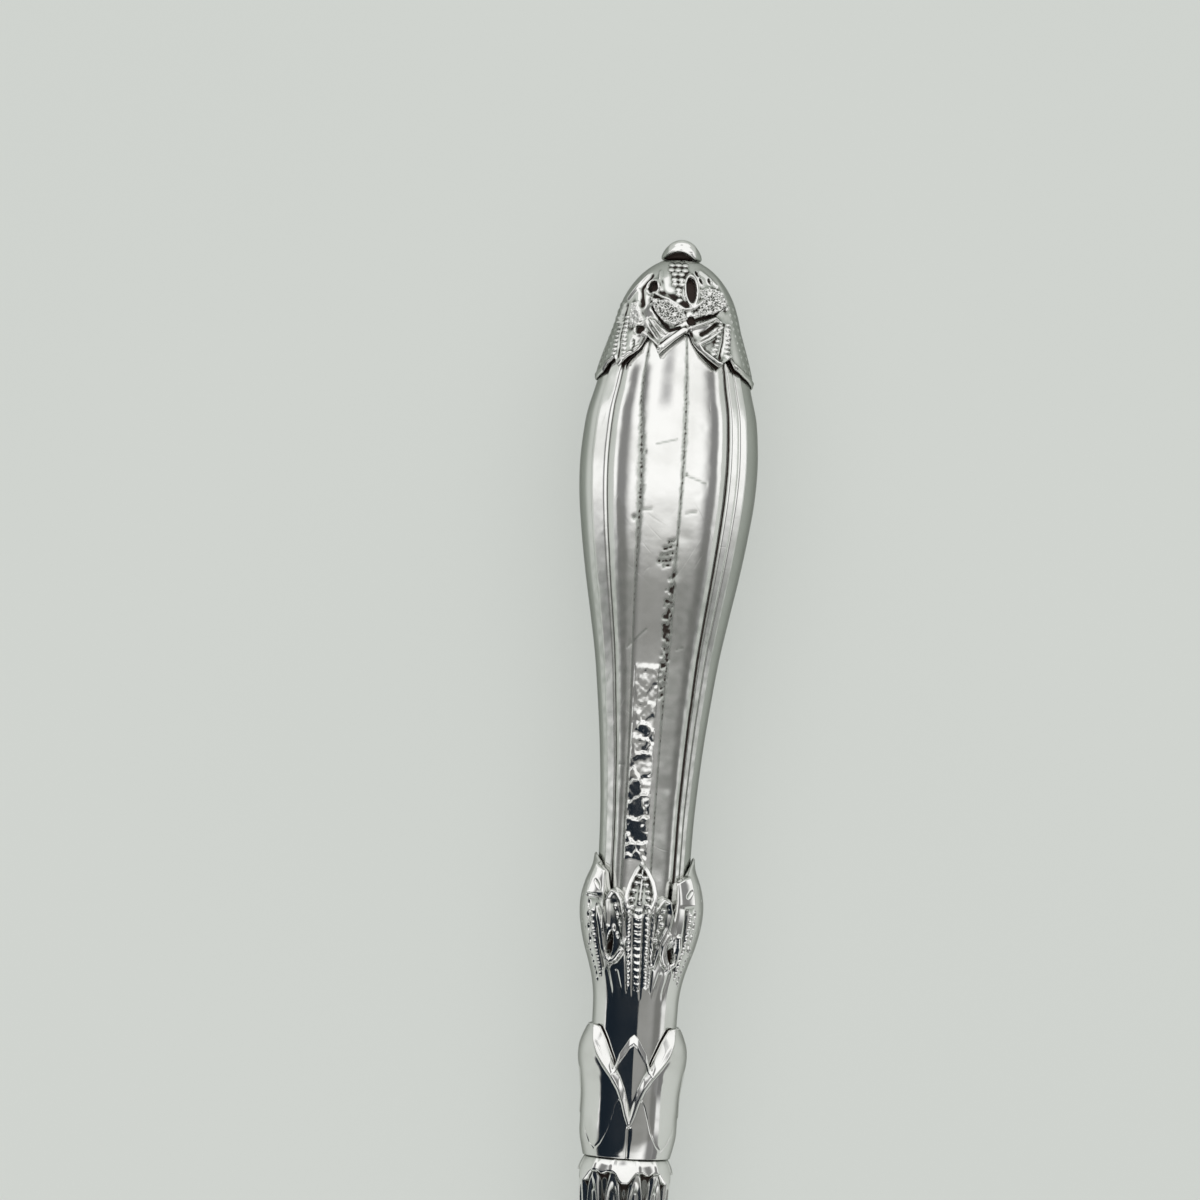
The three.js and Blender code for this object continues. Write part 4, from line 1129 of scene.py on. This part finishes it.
# %% Petal calyx: wall
SPIGOT_START = 0.92  # the rise at which the spigot leaves the calyx
spigot = ease(rise, 0.905, 0.925)
face_radius = face_radius * (1 - spigot) + SPIGOT_R * spigot
relief = face_radius - petal_outline(face_station)
cavity = settled_soil(relief, angle, rise, CALYX_ROWS, CALYX_COLUMNS, 0.3)
along_spigot = (rise - SPIGOT_START) / (1 - SPIGOT_START)
spigot_station = CALYX_FOOT + (SPIGOT_FOOT - CALYX_FOOT) * along_spigot
face_station = np.where(rise > SPIGOT_START, spigot_station, face_station)
inside_station, inside_radius = stepped_bore(rise, edge, CALYX_SEAT, SPIGOT_FOOT, CALYX_SOCKET)
station = through_wall(face_station, inside_station, depth)
radius = through_wall(face_radius, inside_radius, depth)
# Painted shade greys the calyx's sides beyond 58 degrees from the front.
soil = np.maximum(0.16 * ease(folded, 58.0, 72.0), 0.8 * cavity)
place_wall(bm, angle, station, radius)
make_piece(bm, "calyx", "petal_calyx", CAST, wall_soil(depth, soil))

# %% [markdown]
# ## The leaf cuff and the mouth ring
# The cuff has a bright faceted rim that hangs in tongues over a ring of narrow leaf loops. One loop is
# described in the space of its own thirty degrees and folded round twelve times. The ring below it is
# a plain half-round moulding.

# %% Leaf cuff
CUFF_COLUMNS = 480
CUFF_ROWS = 120
CUFF_TOP = 82.15
CUFF_SEAT = 84.95
CUFF_FOOT = 93.05
CUFF_SOCKET = 3.306
LOOP_ARC = 30.0
TONGUE_ARC = 60.0
LOOP_MIDDLE = 87.9
LOOP_HALF_WIDTH = 0.74
LOOP_HALF_LENGTH = 4.5
cuff_outline = smooth_curve([
    (82.15, 3.74), (82.5, 3.84), (83.2, 3.9), (84.0, 3.88), (86.0, 3.78), (89.0, 3.5), (91.0, 3.25),
    (93.05, 3.1),
])
bm, angle, rise, depth = rolled_wall(CUFF_COLUMNS, CUFF_ROWS, 10)
face_station = CUFF_TOP + (CUFF_FOOT - CUFF_TOP) * rise
loop_turn = (angle + 1.0) % LOOP_ARC - LOOP_ARC / 2
leaf = Chasing(loop_turn, face_station, cuff_outline)
loop = np.hypot(leaf.x / LOOP_HALF_WIDTH, (face_station - LOOP_MIDDLE) / LOOP_HALF_LENGTH)
leaf.height += 0.24 * np.exp(-(((loop - 0.92) / 0.16) ** 2)) - 0.28 * ease(loop, 1.08, 1.3)
leaf.trace([(0, 85.2), (0, 91.0)], 0.2, 0.1)
tongue_turn = np.abs((angle + 31.0) % TONGUE_ARC - TONGUE_ARC / 2)
tongue = 83.3 + 0.95 * (1 - ease(tongue_turn, 3.0, 15.0)) + 0.2 * ease(tongue_turn, 22.0, 29.0)
hanging = 1 - ease(face_station, tongue - 0.1, tongue + 0.06)
facet = 0.3 * (face_station - CUFF_TOP) - 0.05 * ease(np.abs(tongue_turn - 16.0), 0.0, 5.0)
body = leaf.height * (1 - ease(face_station, 91.5, 92.6)) - 0.1
relief = body * (1 - hanging) + facet * hanging
inside_station, inside_radius = stepped_bore(rise, CUFF_TOP, CUFF_SEAT, CUFF_FOOT, CUFF_SOCKET)
station = through_wall(face_station, inside_station, depth)
radius = through_wall(cuff_outline(face_station) + relief, inside_radius, depth)
cavity = settled_soil(relief, angle, rise, CUFF_ROWS, CUFF_COLUMNS, 0.16)
place_wall(bm, angle, station, radius)
make_piece(bm, "cuff", "leaf_cuff", CAST, wall_soil(depth, cavity))

# %% Mouth ring
RING_TOP = 93.15
RING_FOOT = 95.05
MOUTH_BORE = 2.05
RING_WALL = 1.1
RING_COLUMNS = 96
RING_ROWS = 24
bm, angle, rise, depth = rolled_wall(RING_COLUMNS, RING_ROWS, 4)
face_station = RING_TOP + (RING_FOOT - RING_TOP) * rise
bulge = RING_WALL * (0.3 + 0.7 * np.sqrt(np.clip(1 - (2 * rise - 1) ** 2, 0.0, 1.0)))
radius = through_wall(MOUTH_BORE + bulge, MOUTH_BORE, depth)
soil = np.where(depth > 0.3, 1.0, ease(np.abs(2 * rise - 1), 0.8, 1.0))
place_wall(bm, angle, face_station, radius)
make_piece(bm, "ring", "mouth_ring", SHEET, soil)

# %% [markdown]
# ## The forged fork
# Tang, neck, bolster, shank, palm and tines are one forging. A flat grid is the plan of it: faces
# between the tines are deleted, the sheet is made solid, and each row is then rounded to the section
# that the bar has at that station. A subdivision surface smooths what the hammer would have smoothed.

# %% Fork: plan
TANG_TIP = 47.15
TANG_FOOT = 93.1
BOLSTER = 95.2
SHANK_TOP = 98.35
SHANK_FOOT = 135.15
PALM_TOP = 147.15
TINE_ROOT = 155.15
BARB = 199.15
TINE_TIP = 205.15
PALM_HALF = 7.35
PLAN_COLUMNS = 17
PLAN_ROWS = 104
PALM_ROW = 64
row_station = straight_curve([
    (0, TANG_TIP), (8, TANG_FOOT), (9, 93.15), (11, 95.15), (12, BOLSTER), (20, SHANK_TOP),
    (40, SHANK_FOOT), (54, PALM_TOP), (PALM_ROW, TINE_ROOT), (92, 198.75), (94, BARB),
    (PLAN_ROWS, TINE_TIP),
])
column_x = straight_curve([
    (0, -PALM_HALF), (3, -5.3), (7, -1.0), (10, 1.0), (14, 5.3), (PLAN_COLUMNS, PALM_HALF),
])
bm = bmesh.new()
bmesh.ops.create_grid(bm, x_segments=PLAN_COLUMNS, y_segments=PLAN_ROWS, size=1.0)


def fork_cell(x, y):
    """Column and row numbers of places on the grid."""
    return (x + 1) * PLAN_COLUMNS / 2, (1 - y) * PLAN_ROWS / 2


gaps = []
for face in bm.faces:
    column, row = fork_cell(*face.calc_center_median().xy)
    if row > PALM_ROW and (3 < column < 7 or 10 < column < 14):
        gaps.append(face)
bmesh.ops.delete(bm, geom=gaps, context="FACES")
bmesh.ops.recalc_face_normals(bm, faces=bm.faces)
bmesh.ops.solidify(bm, geom=bm.faces[:], thickness=0.1)
print("fork plan has", len(bm.faces), "faces")

# %% Fork: sections
PALM_THICK = 1.1  # half the palm's thickness
NECK_R = 1.9
BAR_TURN = math.radians(81.0)  # how far round the bar its columns are spread
shank = [(BOLSTER, 2.8), (96.35, 2.9), (97.3, 2.2), (SHANK_TOP, 1.9), (117.0, 1.66), (SHANK_FOOT, 1.45)]
half_width = smooth_curve([
    *shank, (138.0, 2.0), (142.0, 4.9), (146.0, 7.1), (148.0, 7.4), (TINE_ROOT, PALM_HALF),
])
half_thick = smooth_curve([*shank, (PALM_TOP, PALM_THICK), (TINE_ROOT, PALM_THICK)])
co = np.array([vert.co for vert in bm.verts])
column, row = np.rint(fork_cell(co[:, 0], co[:, 1]))
side = np.where(np.abs(co[:, 2]) < 0.05, 1.0, -1.0)
station = row_station(row)
plan_x = column_x(column)
across = plan_x / PALM_HALF
tang = station < TANG_FOOT + 0.02
neck = (station > TANG_FOOT + 0.02) & (station < BOLSTER - 0.02)
tang_half = np.interp(station, [TANG_TIP, TANG_FOOT], [0.7, 1.1])
width = np.where(tang, tang_half, np.where(neck, NECK_R, half_width(station)))
thick = np.where(tang, tang_half, np.where(neck, NECK_R, half_thick(station)))
flat = ease(station, 135.0, 147.0)
power = np.where(tang, 6.0, 2.0 + 3.5 * flat)
spread = np.sin(across * BAR_TURN) / math.sin(BAR_TURN) * 0.99
out = np.where(tang, 0.97 * across, spread * (1 - flat) + 0.985 * across * flat)
bar_x = width * out
bar_z = side * thick * (1 - np.abs(out) ** power) ** (1 / power)
sunk = ease(station, SHANK_TOP, PALM_TOP)
middle_z = AXIS * (1 - sunk) + thick * sunk
print("bar from", station.min(), "to", station.max())

# %% Fork: tines
TINE_PITCH = 6.3
TINE_RISE = 4.5  # of the points over the palm
GAP_HALF = 2.15
travel = np.clip((station - TINE_ROOT) / (TINE_TIP - TINE_ROOT), 0.0, 1.0)
point = ease(station, BARB, TINE_TIP)
barb = np.interp(station, [198.75, BARB, TINE_TIP], [0.0, 1.1, 0.0])
which = np.rint(plan_x / TINE_PITCH)
within = np.clip((plan_x - which * TINE_PITCH) / 1.03, -1.0, 1.0)
tine_half = ((2.0 - 0.8 * travel) * (1 - point) + 0.3 * point) / 2
outward = np.where(which * within > 0, np.abs(within), 0.0)
tine_x = which * (TINE_PITCH + 0.4 * travel + barb * outward) + tine_half * within
tine_z = side * tine_half * (1 - np.abs(0.96 * within) ** 3) ** (1 / 3)
tine_middle = PALM_THICK + TINE_RISE * travel**2
in_gap = (np.abs(plan_x) > 0.99) & (np.abs(plan_x) < 5.31)
slot = np.clip((np.abs(plan_x) - TINE_PITCH / 2) / GAP_HALF, -1.0, 1.0)
near_root = np.clip((station - 149.0) / (TINE_ROOT - 149.0), 0.0, 1.0)
crotch = GAP_HALF * np.sqrt(1 - slot**2) * near_root**2
free = ease(station, 153.5, 157.5)
x = bar_x * (1 - free) + tine_x * free
z = (middle_z + bar_z) * (1 - free) + (tine_middle + tine_z) * free
x = np.where(row <= PALM_ROW, bar_x, x)
z = np.where(row <= PALM_ROW, middle_z + bar_z, z)
y = TIP - station + np.where(in_gap & (row <= PALM_ROW), crotch, 0.0)
for vert, place in zip(bm.verts, np.stack((x, y, z), 1) * MM):
    vert.co = place
bmesh.ops.recalc_face_normals(bm, faces=bm.faces)
fork_soil = np.where(station < 95.0, 0.8, 0.25 * np.exp(-(((station - BOLSTER) / 0.3) ** 2)))
fork = make_piece(bm, "fork", "tined_fork", FORGED, fork_soil)
smoother = fork.modifiers.new("smooth", "SUBSURF")
smoother.levels = 2
smoother.render_levels = 2

# %% [markdown]
# ## The pitch inside
# The hollow handle is filled with pitch, which holds the tang and backs the thin sheet. It is hidden
# once the fork is assembled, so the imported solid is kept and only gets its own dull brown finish.

# %% Pitch
PITCH_DARK = (0.05, 0.03, 0.02, 1.0)
PITCH_LIGHT = (0.13, 0.08, 0.05, 1.0)
pitch, tree, place = new_finish("set pitch")
grit = place.clouds(1400.0, 5.0)
colour = grit.ease(0.35, 0.7).mix(PITCH_DARK, PITCH_LIGHT)
bump = tree.node("ShaderNodeBump", {}, {"Height": grit, "Distance": 0.0001})
inputs = {"Base Color": colour, "Roughness": 0.55 + 0.2 * grit, "Normal": bump}
shader = tree.node("ShaderNodeBsdfPrincipled", {}, inputs)
tree.node("ShaderNodeOutputMaterial", {}, {"Surface": shader})
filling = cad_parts["pitch_filling"]
for slot in filling.material_slots:
    slot.material = pitch
print("pitch on", filling.name)
